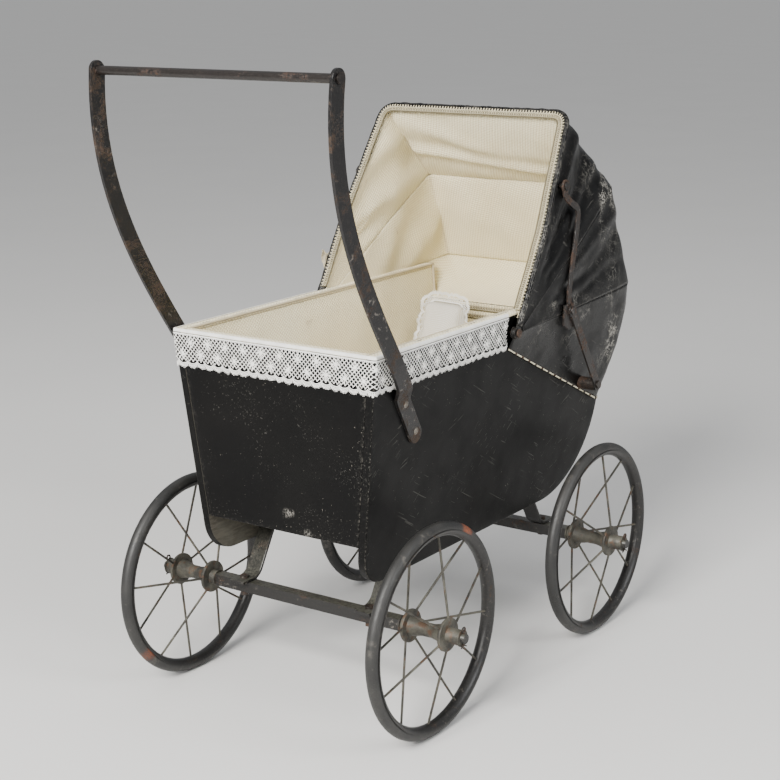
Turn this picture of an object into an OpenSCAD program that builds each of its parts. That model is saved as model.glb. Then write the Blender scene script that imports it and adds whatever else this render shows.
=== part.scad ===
// Old doll's pram: a deep board body on flat steel springs, four wire wheels,
// a steel push handle and a folding fan hood with jointed stays.
// +Y is the way it travels, +X is the pusher's right and the ground is z = 0.
// Inside the file, y is measured from the rear axle; place() moves the origin to the middle.

/* [Wheels] */
// Radius of a wheel over its tyre
wheel_r = 100; // [80:1:120]
// Diameter of the round rubber tyre
tyre_d = 12; // [8:0.5:14]
// Wall of the steel rim that holds the tyre
rim_wall = 1; // [0.6:0.1:1.5]
// Number of wire spokes in a wheel
spokes = 12; // [8:2:16]
// Diameter of a spoke
spoke_d = 2.2; // [1.4:0.1:3]
// Distance from the middle to the centre plane of a wheel
wheel_x = 142; // [136:1:160]
// Distance from the rear axle to the front axle
wheelbase = 305; // [280:1:320]
// Diameter of the flanges on a hub
flange_d = 31; // [26:1:36]
// Radial running clearance between a hub and its axle
hub_play = 0.05; // [0.02:0.01:0.1]

/* [Axles and springs] */
// Diameter of the round end of an axle
axle_d = 9; // [7:0.5:10]
// Height of the square part of an axle
beam_h = 11; // [9:0.5:13]
// Width of the square part of an axle
beam_w = 12; // [9:0.5:14]
// Distance from the middle to the centre of a spring
spring_x = 74; // [55:1:74]
// Width of the steel strip in a spring
spring_w = 17; // [12:1:17]
// Thickness of the steel strip in a spring
spring_t = 3; // [2:0.5:4]

/* [Body] */
// Width over the top edges
top_w = 229; // [220:1:235]
// Width over the sides at the floor
floor_w = 190; // [180:1:200]
// Height of the top edges
top_z = 355; // [345:1:365]
// Height of the underside of the floor
floor_z = 178; // [172:1:184]
// Height of the lower edges of the sides
low_z = 139; // [130:1:150]
// Outer face of the foot panel at the top
foot_y = -44.5; // [-50:0.5:-40]
// Front edge of the sides at the nose
nose_y = 377; // [370:1:382]
// Thickness of the boards
board_t = 7; // [5:0.5:9]
// Thickness of the leathercloth on the boards
skin_t = 0.8; // [0.5:0.1:1]
// Thickness of the cotton lining
lining_t = 2.5; // [1.5:0.5:3]
// Drop of the lace below the top edges
lace_drop = 34; // [25:1:38]

/* [Handle] */
// Height of the grip rod
grip_z = 594; // [560:1:620]
// Diameter of the grip rod
grip_d = 8; // [6:0.5:10]
// Width of the handle's steel strip
arm_w = 17; // [14:1:19]
// Thickness of the handle's steel strip
arm_t = 3; // [2:0.5:4]

/* [Hood] */
// Forward position of the hood's pivots
pivot_y = 180; // [175:1:185]
// Height of the hood's pivots
pivot_z = 337; // [335:1:339]
// Half width over the hood's cover at the pivots
hood_x = 121.5; // [121:0.1:123]
// Width of a hood bow
bow_w = 8; // [6:0.5:8]
// Thickness of the steel strip in a hood bow
bow_t = 1.3; // [1:0.1:1.3]
// Thickness of the hood's leathercloth
cover_t = 0.8; // [0.6:0.1:0.8]
// Thickness of the steel strip in a hood stay
stay_t = 2; // [1.5:0.1:2]

/* [Hidden] */
$fn = 64;
SIDES = ["left", "right"];
WHEELS = ["rear_left", "rear_right", "front_left", "front_right"];

STEEL = [0.16, 0.14, 0.12];
RUST = [0.33, 0.22, 0.14];
WIRE = [0.45, 0.42, 0.36];
RUBBER = [0.17, 0.17, 0.16];
LEATHERCLOTH = [0.06, 0.06, 0.06];
BARE_WOOD = [0.42, 0.31, 0.2];
COTTON = [0.93, 0.88, 0.74];
LACE = [0.96, 0.95, 0.92];

gap = 0.1;            // working gap between faces that only touch
eps = 0.01;           // overlap of cutting tools past a face
tyre_r = tyre_d / 2;
axle_r = axle_d / 2;
axle_z = wheel_r;

// Hub along its axle, measured from the wheel's centre plane.
hub_in = -32;
flange_in = -24.5;
flange_out = 15.5;
hub_out = 30;
flange_t = 3;
nose_r = 7.2;
washer_t = 1.2;
washer_r = axle_r + 3.4;
axle_end = wheel_x + 35;
beam_end = wheel_x + hub_in - 2 * gap - washer_t;
first_spoke = 84;     // angle of the first spoke from +Y
pin_x = axle_end - 2.5;
pin_r = 0.8;
bolt_r = 2;
bolt_hole_r = bolt_r + 0.1;
bolt_head_r = 4.2;
bolt_head_h = 2.4;
nut_h = 3;
foot_bolt_y = -beam_w / 4;
floor_bolt_y = 70;

// Body: the sides splay outwards, the foot and head panels lean outwards.
wall_h = top_z - floor_z;
splay = atan((top_w - floor_w) / 2 / wall_h);
foot_low_y = -36.3;
foot_lean = atan((foot_low_y - foot_y) / wall_h);
head_low_y = 352;
head_top = [374, 317];
head_lean = atan((head_top[0] - head_low_y) / (head_top[1] - floor_z));
wall_v = wall_h / cos(splay);             // height of a side up its own slope
rear_low_r = 30;                          // round of a side's lower rear corner
nose_r_low = 100;                         // round of a side's lower front corner
nose_top_y = nose_y - 5;
inner_skin = skin_t + board_t;            // depth of the lining's outer face
inner_all = inner_skin + lining_t;        // depth of the lining's inner face
floor_top = floor_z + board_t;
mattress_h = 18;
pillow_size = [52, 150, 20];
pillow_at = [-54, 300];
mattress_end = 262;
lace_t = 0.8;
lace_front_y = pivot_y - 8;

// Handle: an arc from the grip, then a straight foot screwed to the side.
grip_y = -110.5;
arm_curve = [[grip_y, grip_z], [grip_y - 13, 490], [-71, 415], [-11.5, 326.5]];
arm_foot = [25, 272];
crank_z = [310, 322];                     // the strip steps outwards here
crank_x = 120;
arm_top_x = 130;
screw_y = [4, 24];
screw_line = [304.5, 275];
screw_r = 1.8;
tenon_r = 2.5;

// Hood: three bows on one pair of rivets, as [angle, straight leg, top half width, top radius].
front = [60.3, 100, 111.5, 229];
middle = [31, 145, 117.5, 234];
back = [3.1, 200, 118, 242];
bow_corner = 18;
front_drop = 2;                           // the front bow's top lies this much deeper under the cover
front_in = cover_t + 0.3;                 // depth of each layer inside the cover's outer face
middle_in = front_in + bow_t + 0.3;
back_in = middle_in + bow_t + 0.3;
lining_in = back_in + bow_t + 0.3;
hood_lining_t = 0.8;
rivet_r = 2;
rivet_hole_r = 3.2;                       // clears the rivet, which crosses the sloping board level
eye_r = 6;
stud_r = 2.2;
stud_head_r = 4.2;
stud_head_h = 1.5;
boss_r = 6.5;
hood_edge = [[181, 319], [361, 234]];     // the cover's lower edge on a side
curtain = [[428, 327, 114], [419, 285, 110], [397, 252, 106], [381, 229, 103]];
stay_top = [264, 468];
stay_elbow = [277, 343];
stay_foot = [331, 256];
stay_x = hood_x + 0.5;
stay_gap = 0.2;
stay_w = 7;                               // width of the upper stay
link_w = 10;                              // width of the lower stay
stay_eye_r = 6.3;
rail_t = 0.4;                             // section of the thin bars that shape a hull
front_hem = 1.2;                          // angle by which the cover runs past the front bow
lining_edge = [back[0] + 2.4, 208, back[2], back[3]];    // the lining's last seam, as a bow
seam = 0.05;                              // half of the gap between two panels
far = 150;                                // reach of the tools that cut right across the pram

function unit(v) = v / norm(v);
function side_x(z) = floor_w / 2 + (z - floor_z) * tan(splay);
function left_of(a, b) = let(d = unit(b - a)) [-d[1], d[0]];
function miter(p, i) =
    let(
        last = len(p) - 1,
        a = i > 0 ? left_of(p[i - 1], p[i]) : left_of(p[0], p[1]),
        b = i < last ? left_of(p[i], p[i + 1]) : left_of(p[last - 1], p[last])
    ) (a + b) / (1 + a * b);
// Outline of a strip of width w along the path p.
function strip(p, w) = concat(
    [for (i = [0 : len(p) - 1]) p[i] + miter(p, i) * w / 2],
    [for (i = [len(p) - 1 : -1 : 0]) p[i] - miter(p, i) * w / 2]
);
// Path p with each inner corner eased over the length in reach.
function eased(p, reach, n = 6) = concat(
    [p[0]],
    [for (i = [1 : len(p) - 2]) each
        let(
            a = p[i] + unit(p[i - 1] - p[i]) * reach[i],
            b = p[i] + unit(p[i + 1] - p[i]) * reach[i]
        )
        [for (k = [0 : n]) let(s = k / n)
            (1 - s) * (1 - s) * a + 2 * s * (1 - s) * p[i] + s * s * b]],
    [p[len(p) - 1]]
);
function arc(c, r, from, to, n = 16) =
    [for (k = [0 : n]) let(t = from + (to - from) * k / n) c + r * [cos(t), sin(t)]];
function bezier(p, n = 24) =
    [for (k = [0 : n]) let(s = k / n, q = 1 - s)
        q * q * q * p[0] + 3 * q * q * s * p[1] + 3 * q * s * s * p[2] + s * s * s * p[3]];

// The pram runs from the handle's bulge to the hood's back; its middle is the origin.
rear_end = min([for (p = strip(bezier(arm_curve), arm_w)) p[0]]);
front_end = curtain[0][0] + rail_t / 2;
mid_y = (rear_end + front_end) / 2;

module place() {
    translate([0, -mid_y, 0]) children();
}
module one_side(side) {
    mirror([side == "left" ? 1 : 0, 0, 0]) children();
}
module both_sides() {
    for (side = SIDES) one_side(side) children();
}
// A drawing in (y, z) pushed out along +X.
module along_x(from, to) {
    translate([from, 0, 0]) rotate([90, 0, 90]) linear_extrude(to - from) children();
}
module x_rod(r, from, to) {
    translate([from, 0, 0]) rotate([0, 90, 0]) cylinder(r = r, h = to - from);
}
module wire(a, b, r) {
    d = b - a;
    translate(a) rotate([0, acos(d[2] / norm(d)), atan2(d[1], d[0])]) cylinder(r = r, h = norm(d), $fn = 24);
}

// Wheels

function is_left(w) = w == "rear_left" || w == "front_left";
function is_rear(w) = w == "rear_left" || w == "rear_right";
// Local Z points outwards along the axle.
module at_wheel(w) {
    mirror([is_left(w) ? 1 : 0, 0, 0])
        translate([wheel_x, is_rear(w) ? 0 : wheelbase, axle_z])
            rotate([90, 0, 90]) children();
}
module tyre() {
    color(RUBBER) rotate_extrude($fn = 128) translate([wheel_r - tyre_r, 0]) circle(tyre_r, $fn = 48);
}
module rim() {
    hold = tyre_r + 0.05;
    lip = 1.5;    // the rim's edges stop this far inside the tyre's centre line
    color(STEEL) rotate_extrude($fn = 128) difference() {
        translate([wheel_r - tyre_r, 0]) circle(hold + rim_wall, $fn = 48);
        translate([wheel_r - tyre_r, 0]) circle(hold, $fn = 48);
        translate([wheel_r - tyre_r - lip, -tyre_d]) square(2 * tyre_d);
    }
}
module spoke_set() {
    root = flange_d / 2 - 2;
    tip = wheel_r - tyre_d - 0.3;
    color(WIRE) for (k = [0 : spokes - 1]) rotate([0, 0, first_spoke - k * 360 / spokes])
        wire([root, 0, k % 2 == 0 ? flange_out : flange_in], [tip, 0, 0], spoke_d / 2);
}
module hub() {
    bore = axle_r + hub_play;
    half = flange_t / 2;
    shoulder = nose_r + 2.3;
    waist = nose_r - 0.7;
    waist_half = 5;
    middle_z = (flange_in + flange_out) / 2;
    color(WIRE) rotate_extrude() polygon([
        [bore, hub_in], [nose_r, hub_in], [nose_r, flange_in - half],
        [flange_d / 2, flange_in - half], [flange_d / 2, flange_in + half],
        [shoulder, flange_in + half], [waist, middle_z - waist_half],
        [waist, middle_z + waist_half], [shoulder, flange_out - half],
        [flange_d / 2, flange_out - half], [flange_d / 2, flange_out + half],
        [nose_r, flange_out + half], [nose_r, hub_out], [bore, hub_out]
    ]);
}

// Axles and springs

module axle(y) {
    color(STEEL) translate([0, y, axle_z]) difference() {
        union() {
            cube([2 * beam_end, beam_w, beam_h], center = true);
            both_sides() x_rod(axle_r, beam_end - eps, axle_end);
        }
        both_sides() translate([pin_x, 0, -far / 2]) cylinder(r = pin_r + 0.15, h = far, $fn = 24);
        both_sides() translate([spring_x, (y > 0 ? -1 : 1) * foot_bolt_y, -far / 2])
            cylinder(r = bolt_hole_r, h = far, $fn = 32);
    }
}
module washer(x) {
    translate([x, 0, 0]) rotate([0, 90, 0]) difference() {
        cylinder(r = washer_r, h = washer_t);
        translate([0, 0, -1]) cylinder(r = axle_r + gap, h = washer_t + 2);
    }
}
module axle_washers() {
    color(WIRE) for (y = [0, wheelbase]) translate([0, y, axle_z]) both_sides() {
        washer(beam_end + gap / 2);
        washer(wheel_x + hub_out + gap);
    }
}
// A cotter: a straight shank with an eye above and two legs turned back below.
module split_pins() {
    leg = axle_r + 1.5;
    eye = 2.2;
    color(RUST) for (y = [0, wheelbase]) translate([pin_x, y, axle_z]) {
        split_pin(leg, eye);
        translate([-2 * pin_x, 0, 0]) split_pin(leg, eye);
    }
}
module split_pin(leg, eye) {
    spread = 62;
    tail = 4.5;
    translate([0, 0, -leg]) cylinder(r = pin_r, h = 2 * leg, $fn = 24);
    translate([0, 0, leg + eye]) rotate([0, 90, 0]) rotate_extrude($fn = 32)
        translate([eye, 0]) circle(pin_r, $fn = 16);
    for (s = [-1, 1]) translate([0, 0, -leg]) rotate([s * spread, 0, 0]) mirror([0, 0, 1])
        cylinder(r = pin_r - gap, h = tail, $fn = 16);
}
// A flat strip from the top of the axle up to the floor; the front pair faces back.
module spring() {
    foot_top = axle_z + beam_h / 2 + spring_t / 2;
    under_floor = floor_z - spring_t / 2;
    heel = -15;
    low_bend = 9;
    high_bend = 50;
    tip = 84;
    ease = 9;
    path = eased([
        [heel, foot_top], [low_bend, foot_top], [high_bend, under_floor], [tip, under_floor]
    ], [0, ease, ease, 0]);
    color(STEEL) difference() {
        along_x(spring_x - spring_w / 2, spring_x + spring_w / 2) polygon(strip(path, spring_t));
        for (y = [foot_bolt_y, floor_bolt_y]) translate([spring_x, y, 0])
            cylinder(r = bolt_hole_r, h = far * 2, $fn = 32);
    }
}
module at_spring(w) {
    one_side(is_left(w) ? "left" : "right")
        translate([0, is_rear(w) ? 0 : wheelbase, 0]) mirror([0, is_rear(w) ? 0 : 1, 0]) children();
}
module bolt(z_head, z_nut) {
    translate([0, 0, z_nut]) cylinder(r = bolt_r, h = z_head - z_nut, $fn = 32);
    translate([0, 0, z_head]) cylinder(r = bolt_head_r, h = bolt_head_h, $fn = 32);
    translate([0, 0, z_nut - nut_h]) cylinder(r = bolt_head_r, h = nut_h, $fn = 6);
}
module spring_bolts() {
    strap_top = axle_z + beam_h / 2 + spring_t;
    color(RUST) for (w = WHEELS) at_spring(w) {
        translate([spring_x, foot_bolt_y, 0]) bolt(strap_top, axle_z - beam_h / 2);
        translate([spring_x, floor_bolt_y, 0]) bolt(floor_top - bolt_head_h, floor_z - spring_t);
    }
}

// Body

// Local X runs along the side, local Y up its slope and local Z outwards from its outer face.
module on_side(side) {
    one_side(side) translate([floor_w / 2, 0, floor_z]) rotate([0, splay, 0])
        rotate([90, 0, 90]) children();
}
// Local X runs across, local Y up the slope and local Z out of the panel's outer face.
module on_foot() {
    translate([0, foot_low_y, floor_z]) rotate([foot_lean, 0, 0]) rotate([90, 0, 0]) children();
}
module on_head() {
    translate([0, head_low_y, floor_z]) rotate([-head_lean, 0, 0]) mirror([0, 1, 0])
        rotate([90, 0, 0]) children();
}
module plate(depth, thick) {
    translate([0, 0, -depth - thick]) linear_extrude(thick) children();
}
// A panel across the body, up to height h, its ends following the splay of the sides.
module across(depth, low, h, lean) {
    inset = depth / cos(splay) + gap;
    rise = tan(splay) * cos(lean);
    x0 = floor_w / 2 - inset + low * rise;
    x1 = floor_w / 2 - inset + h * rise;
    polygon([[-x0, low], [x0, low], [x1, h], [-x1, h]]);
}
module side_outline() {
    drop = low_z - floor_z;
    rear = foot_low_y + 1;
    polygon(concat(
        [[foot_y, wall_v]],
        arc([rear + rear_low_r, drop + rear_low_r], rear_low_r, 180, 270, 10),
        arc([nose_y - nose_r_low, drop + nose_r_low], nose_r_low, 270, 360, 20),
        [[nose_top_y, wall_v]]
    ));
}
module pierced_outline() {
    difference() {
        side_outline();
        translate([pivot_y, (pivot_z - floor_z) / cos(splay)]) circle(rivet_hole_r, $fn = 32);
    }
}
module side_board(side) {
    color(BARE_WOOD) on_side(side) plate(skin_t, board_t) pierced_outline();
}
module side_cover(side) {
    color(LEATHERCLOTH) on_side(side) plate(0, skin_t) pierced_outline();
}
module side_lining(side) {
    low = board_t + 0.4;
    inside = inner_skin + 0.6;
    lean_y = tan(foot_lean);
    head_v = head_top[1] - floor_z;
    hem = 1;
    color(COTTON) on_side(side) plate(inner_skin, lining_t) polygon([
        [foot_low_y - low * lean_y + inside, low],
        [head_low_y + low * tan(head_lean) - inside, low],
        [head_top[0] - inside, head_v + 2 * hem],
        [nose_top_y - hem, head_v + 4 * hem],
        [nose_top_y - hem, wall_v],
        [foot_low_y - wall_v * lean_y + inside, wall_v]
    ]);
}
module floor_board() {
    inset = inner_skin / cos(splay) + gap;
    x0 = floor_w / 2 - inset;
    y0 = foot_low_y + inner_skin / cos(foot_lean) + gap;
    y1 = head_low_y - inner_skin / cos(head_lean) - gap;
    color(BARE_WOOD) difference() {
        translate([-x0, y0, floor_z]) cube([2 * x0, y1 - y0, board_t]);
        for (w = WHEELS) at_spring(w) translate([spring_x, floor_bolt_y, 0]) {
            cylinder(r = bolt_hole_r, h = far * 2, $fn = 32);
            translate([0, 0, floor_top - bolt_head_h]) cylinder(r = bolt_head_r + gap, h = far, $fn = 32);
        }
    }
}
module foot_board() {
    color(BARE_WOOD) on_foot() plate(skin_t, board_t) across(inner_skin, 0, wall_h, foot_lean);
}
module foot_cover() {
    color(LEATHERCLOTH) on_foot() plate(0, skin_t) across(inner_skin, 0, wall_h, foot_lean);
}
module foot_lining() {
    low = board_t + 0.6;
    color(COTTON) on_foot() plate(inner_skin + 0.5, lining_t) across(inner_all, low, wall_h, foot_lean);
}
module head_board() {
    h = (head_top[1] - floor_z) / cos(head_lean);
    color(BARE_WOOD) on_head() plate(skin_t, board_t) across(inner_skin, 0, h, head_lean);
}
module head_cover() {
    h = (head_top[1] - floor_z) / cos(head_lean);
    color(LEATHERCLOTH) on_head() plate(0, skin_t) across(inner_skin, 0, h, head_lean);
}
module head_lining() {
    h = (head_top[1] - floor_z) / cos(head_lean);
    low = board_t + 0.6;
    color(COTTON) on_head() plate(inner_skin + 0.5, lining_t) across(inner_all, low, h, head_lean);
}
module mattress() {
    play = 3;
    x0 = floor_w / 2 - inner_all / cos(splay) - play;
    y0 = foot_low_y + inner_all + play;
    color(COTTON) translate([0, (y0 + mattress_end) / 2, floor_top + 0.3])
        linear_extrude(mattress_h) square([2 * x0, mattress_end - y0], center = true);
}
// A small narrow pillow stood behind the mattress near the head end's left side, leaning back.
module pillow() {
    roll = 2;
    lean = 18;
    half = (pillow_size[0] * sin(roll) + pillow_size[1] * cos(roll)) / 2;
    z = floor_top + 1 + half * cos(lean) + pillow_size[2] / 2 * sin(lean);
    color(LACE) translate([pillow_at[0], pillow_at[1], z]) rotate([90 - lean, 0, 0]) rotate([0, 0, -roll])
        linear_extrude(pillow_size[2], center = true) square([pillow_size[0], pillow_size[1]], center = true);
}
// A lace strip sewn round the foot panel and both sides as far as the hood.
module lace_trim() {
    low = wall_v - lace_drop;
    color(LACE) {
        for (side = SIDES) on_side(side) plate(-lace_t - gap, lace_t)
            polygon([[foot_y + 1, low], [lace_front_y, low], [lace_front_y, wall_v], [foot_y, wall_v]]);
        on_foot() plate(-lace_t - gap, lace_t) across(-0.5, low, wall_h, foot_lean);
    }
}

// Handle

module handle_arm(side) {
    foot_x = side_x(arm_foot[1] - arm_w) + arm_t / 2 + gap;
    low = arm_foot[1] - arm_w;
    run = concat(bezier(arm_curve), [arm_foot]);
    profile = eased([
        [foot_x, low],
        [side_x(crank_z[0]) + arm_t / 2 + gap, crank_z[0]],
        [crank_x, crank_z[1]],
        [crank_x + arm_t, crank_z[1] + 22],
        [arm_top_x, grip_z + arm_w]
    ], [0, 3, 3, 8, 0]);
    color(STEEL) one_side(side) difference() {
        intersection() {
            along_x(0, far) union() {
                polygon(strip(run, arm_w));
                translate(arm_curve[0]) circle(arm_w / 2);
                translate(arm_foot) circle(arm_w / 2);
            }
            translate([0, far, 0]) rotate([90, 0, 0]) linear_extrude(2 * far) polygon(strip(profile, arm_t));
        }
        translate([0, grip_y, grip_z]) x_rod(tenon_r + gap, 0, far);
        at_screws() translate([0, 0, -board_t]) cylinder(r = screw_r + gap, h = 2 * board_t, $fn = 32);
    }
}
// Local Z points out of the arm's outer face at each screw on the right side.
module at_screws() {
    for (i = [0, 1]) translate([side_x(screw_line[i]) + arm_t + 0.3, screw_y[i], screw_line[i]])
        rotate([0, 90 + splay, 0]) children();
}
// The grip rod is turned down at its ends, which go through the arms and are riveted over.
module handle_grip() {
    inner = arm_top_x - arm_t / 2 - 0.9;
    outer = arm_top_x + arm_t / 2 + 0.3;
    rivet_t = 1.6;
    color(STEEL) translate([0, grip_y, grip_z]) {
        x_rod(grip_d / 2, -inner, inner);
        both_sides() {
            x_rod(tenon_r, inner - eps, outer + eps);
            x_rod(grip_d / 2 + 0.4, outer, outer + rivet_t);
        }
    }
}
module handle_screws() {
    dome = 5.4;
    head_h = 1.2;
    color(RUST) both_sides() at_screws() {
        intersection() {
            translate([0, 0, head_h - dome]) sphere(dome, $fn = 48);
            cylinder(r = dome, h = head_h);
        }
        translate([0, 0, -board_t - arm_t]) cylinder(r = screw_r, h = board_t + arm_t + eps, $fn = 32);
    }
}

// Hood

// Local X runs across, local Y along a bow's legs and local Z towards the foot of the pram.
module at_bow(angle) {
    translate([0, pivot_y, pivot_z]) rotate([angle, 0, 0]) children();
}
// One half of a bow, as (x, radius), set in from the cover's outer face.
function half_bow(b, inset) =
    [[hood_x - inset, 0], [hood_x - inset, b[1]], [b[2] - inset, b[3] - inset]];
function bow_line(b, inset, low, drop = 0) =
    let(
        h = half_bow([b[0], b[1], b[2], b[3] - drop], inset),
        right = [[h[0][0], low], h[1], h[2]],
        left = [for (i = [2 : -1 : 0]) [-right[i][0], right[i][1]]]
    ) eased(concat(right, left), [0, 12, bow_corner - inset, bow_corner - inset, 12, 0]);
module bow(b, inset, drop = 0) {
    mid = inset + bow_t / 2;
    color(STEEL) difference() {
        union() {
            at_bow(b[0]) linear_extrude(bow_w, center = true)
                polygon(strip(bow_line(b, mid, 0, drop), bow_t));
            both_sides() translate([0, pivot_y, pivot_z])
                x_rod(eye_r, hood_x - inset - bow_t + eps, hood_x - inset - eps);
        }
        translate([0, pivot_y, pivot_z]) x_rod(rivet_r + 0.05, -far, far);
    }
}
// The front bow also carries a tab on each leg, with the stud that its stay turns on.
module front_bow() {
    at = [stay_top[0] - pivot_y, stay_top[1] - pivot_z];
    along = at * [cos(front[0]), sin(front[0])];
    aside = at * [-sin(front[0]), cos(front[0])];
    leg_x = front[2] - front_in + (hood_x - front[2]) * (front[3] - along) / (front[3] - front[1]);
    tab_t = 1.6;
    bow(front, front_in, front_drop);
    color(STEEL) both_sides() translate([0, stay_top[0], stay_top[1]]) {
        x_rod(stud_r, leg_x - tab_t, stay_x + stay_t + 0.3);
        translate([stay_x + stay_t + 0.3 - eps, 0, 0]) x_rod(stud_head_r, 0, stud_head_h);
    }
    color(STEEL) at_bow(front[0]) both_sides() along_x(leg_x - 1.5 * tab_t, leg_x - tab_t / 2)
        translate([along, aside / 2]) square([2 * link_w, -aside + eye_r], center = true);
}
// A thin plate in a bow's plane, above it where side is 1 and below it where side is -1.
// It runs past its own edge where it is part of a cutting tool.
module edge_plate(b, inset, low, side, past = 0) {
    at_bow(b[0]) translate([0, 0, side > 0 ? seam - past : -seam - rail_t])
        linear_extrude(rail_t + past) polygon(bow_line(b, inset, low));
}
// The fan of cloth between two bows, open at both ends and along its lower side.
module fan(a, b, inset, thick) {
    past = 1;
    start = 3;
    difference() {
        hull() {
            edge_plate(a, inset, start, -1);
            edge_plate(b, inset, start, 1);
        }
        hull() {
            edge_plate(a, inset + thick, -4 * start, -1, past);
            edge_plate(b, inset + thick, -4 * start, 1, past);
        }
        translate([0, pivot_y, pivot_z]) x_rod(rivet_r + 0.6, -far, far);
        children();
    }
}
module stud_holes() {
    translate([0, stay_top[0], stay_top[1]]) x_rod(stud_r + 1, -far, far);
}
function turned(b, t) = [b[0] + t, b[1], b[2], b[3]];
module hood_cover_front() {
    color(LEATHERCLOTH) fan(turned(front, front_hem), middle, 0, cover_t) stud_holes();
}
module hood_cover_middle() {
    color(LEATHERCLOTH) fan(middle, back, 0, cover_t);
}
module hood_lining_front() {
    color(COTTON) difference() {
        fan(front, middle, lining_in, hood_lining_t);
        below_sides();
    }
}
module hood_lining_middle() {
    color(COTTON) difference() {
        fan(middle, lining_edge, lining_in, hood_lining_t);
        below_sides();
    }
}
// The lining stops just above the top edges of the body.
module below_sides() {
    translate([-far, 0, 0]) cube([2 * far, 3 * far, top_z + 1.5]);
}
module rail(y, z, half) {
    translate([0, y, z]) cube([2 * half, rail_t, rail_t], center = true);
}
// From the back bow down to the nose, and along each side to the line where it is tacked.
module hood_cover_back() {
    flare = [[pivot_y - 4, pivot_z - 8], [pivot_y + 205, pivot_z - 3]];
    past = 8;
    edge_x = [for (e = hood_edge) side_x(e[1]) + cover_t + 0.6];
    slope = [for (i = [0, 1]) (hood_x - edge_x[i]) / (flare[i][1] - hood_edge[i][1])];
    hem = curtain[3];
    color(LEATHERCLOTH) difference() {
        hull() {
            edge_plate(back, 0, -4, -1);
            for (i = [0, 1]) {
                rail(flare[i][0], flare[i][1], hood_x);
                rail(hood_edge[i][0], hood_edge[i][1], edge_x[i]);
            }
            for (c = curtain) rail(c[0], c[1], c[2]);
        }
        hull() {
            edge_plate(back, cover_t, -past, -1, 1);
            rail(flare[0][0] - past, flare[0][1], hood_x - cover_t);
            rail(flare[1][0], flare[1][1], hood_x - cover_t);
            for (i = [0, 1]) rail(
                hood_edge[i][0] - (1 - i) * past, hood_edge[i][1] - past,
                edge_x[i] - cover_t - past * slope[i]
            );
            for (c = curtain) rail(c[0] - cover_t, c[1], c[2] - cover_t);
            rail(hem[0] - past, hem[1] - past, hem[2] - 2 * cover_t - past * slope[1]);
        }
        translate([-far, 0, 0]) cube([2 * far, 3 * far, hem[1]]);
        translate([0, pivot_y, pivot_z]) x_rod(rivet_r + 0.6, -far, far);
        translate([0, stay_foot[0], stay_foot[1]]) x_rod(boss_r + 0.3, -far, far);
    }
}
// The lining's last panel: from the back bow round a ledge to the top of the head panel.
module hood_lining_back() {
    t = hood_lining_t;
    ledge = [[406, 326, 103], [378, 322, 99]];
    sag = (ledge[0][1] - ledge[1][1]) / (ledge[0][0] - ledge[1][0]);
    past = 10;
    low = 194;
    color(COTTON) difference() {
        hull() {
            edge_plate(lining_edge, lining_in, low, -1);
            for (e = ledge) rail(e[0], e[1], e[2]);
        }
        hull() {
            edge_plate(lining_edge, lining_in + t, low - past, -1, 1);
            rail(ledge[0][0] - t, ledge[0][1] + t, ledge[0][2] - t);
            rail(ledge[1][0] - past, ledge[1][1] + t - past * sag, ledge[1][2] - t);
        }
    }
}
module hood_braid() {
    inset = 4;
    wide = 5;
    thick = 1.5;
    start = 22;
    color(COTTON) at_bow(front[0]) translate([0, 0, bow_w / 2 + 0.3]) linear_extrude(thick)
        polygon(strip(bow_line(front, inset, start), wide));
}
// The rivets that the bows turn on, and the studs for the lower stays.
module hood_rivets() {
    outer = stay_x + 2 * stay_t + stay_gap + 0.3;
    color(RUST) both_sides() {
        translate([0, pivot_y, pivot_z]) {
            x_rod(rivet_r, side_x(pivot_z) - board_t, hood_x + 0.3);
            translate([hood_x + 0.3 - eps, 0, 0]) x_rod(stud_head_r, 0, stud_head_h - 0.3);
        }
        translate([0, stay_foot[0], stay_foot[1]]) {
            x_rod(stud_r, stay_x, outer);
            x_rod(boss_r, side_x(stay_foot[1]) + 0.9, stay_x + stay_t);
            translate([outer - eps, 0, 0]) x_rod(stud_head_r, 0, stud_head_h);
        }
    }
}
// The upper stay: an eye, an S bend, a straight bar and a plate with the elbow's rivet.
module stay_upper(side) {
    path = eased([
        stay_top, stay_top + [-1, -9], stay_top + [12, -18], stay_top + [27, -25],
        stay_top + [25, -42], stay_elbow + [-3, 20], stay_elbow + [-3, 0]
    ], [0, 6, 6, 8, 8, 6, 0]);
    color(RUST) one_side(side) {
        difference() {
            along_x(stay_x, stay_x + stay_t) union() {
                polygon(strip(path, stay_w));
                translate(stay_top) circle(stay_eye_r);
                translate(stay_elbow + [-1, -7]) elbow_plate();
            }
            translate([0, stay_top[0], stay_top[1]]) x_rod(stud_r + 0.06, 0, far);
        }
    }
}
module elbow_plate() {
    polygon([[-12, 14], [6, 14], [9, 4], [9, -10], [-3, -12], [-13, -6]]);
}
module stay_lower(side) {
    x0 = stay_x + stay_t + stay_gap;
    color(RUST) one_side(side) {
        difference() {
            along_x(x0, x0 + stay_t) union() {
                polygon(strip([stay_elbow, stay_foot], link_w));
                translate(stay_elbow) circle(stay_eye_r);
                translate(stay_foot) circle(stay_eye_r);
            }
            translate([0, stay_foot[0], stay_foot[1]]) x_rod(stud_r + 0.06, 0, far);
        }
        translate([x0 + stay_t - eps, stay_elbow[0], stay_elbow[1]]) x_rod(stud_head_r, 0, stud_head_h);
    }
}

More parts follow.
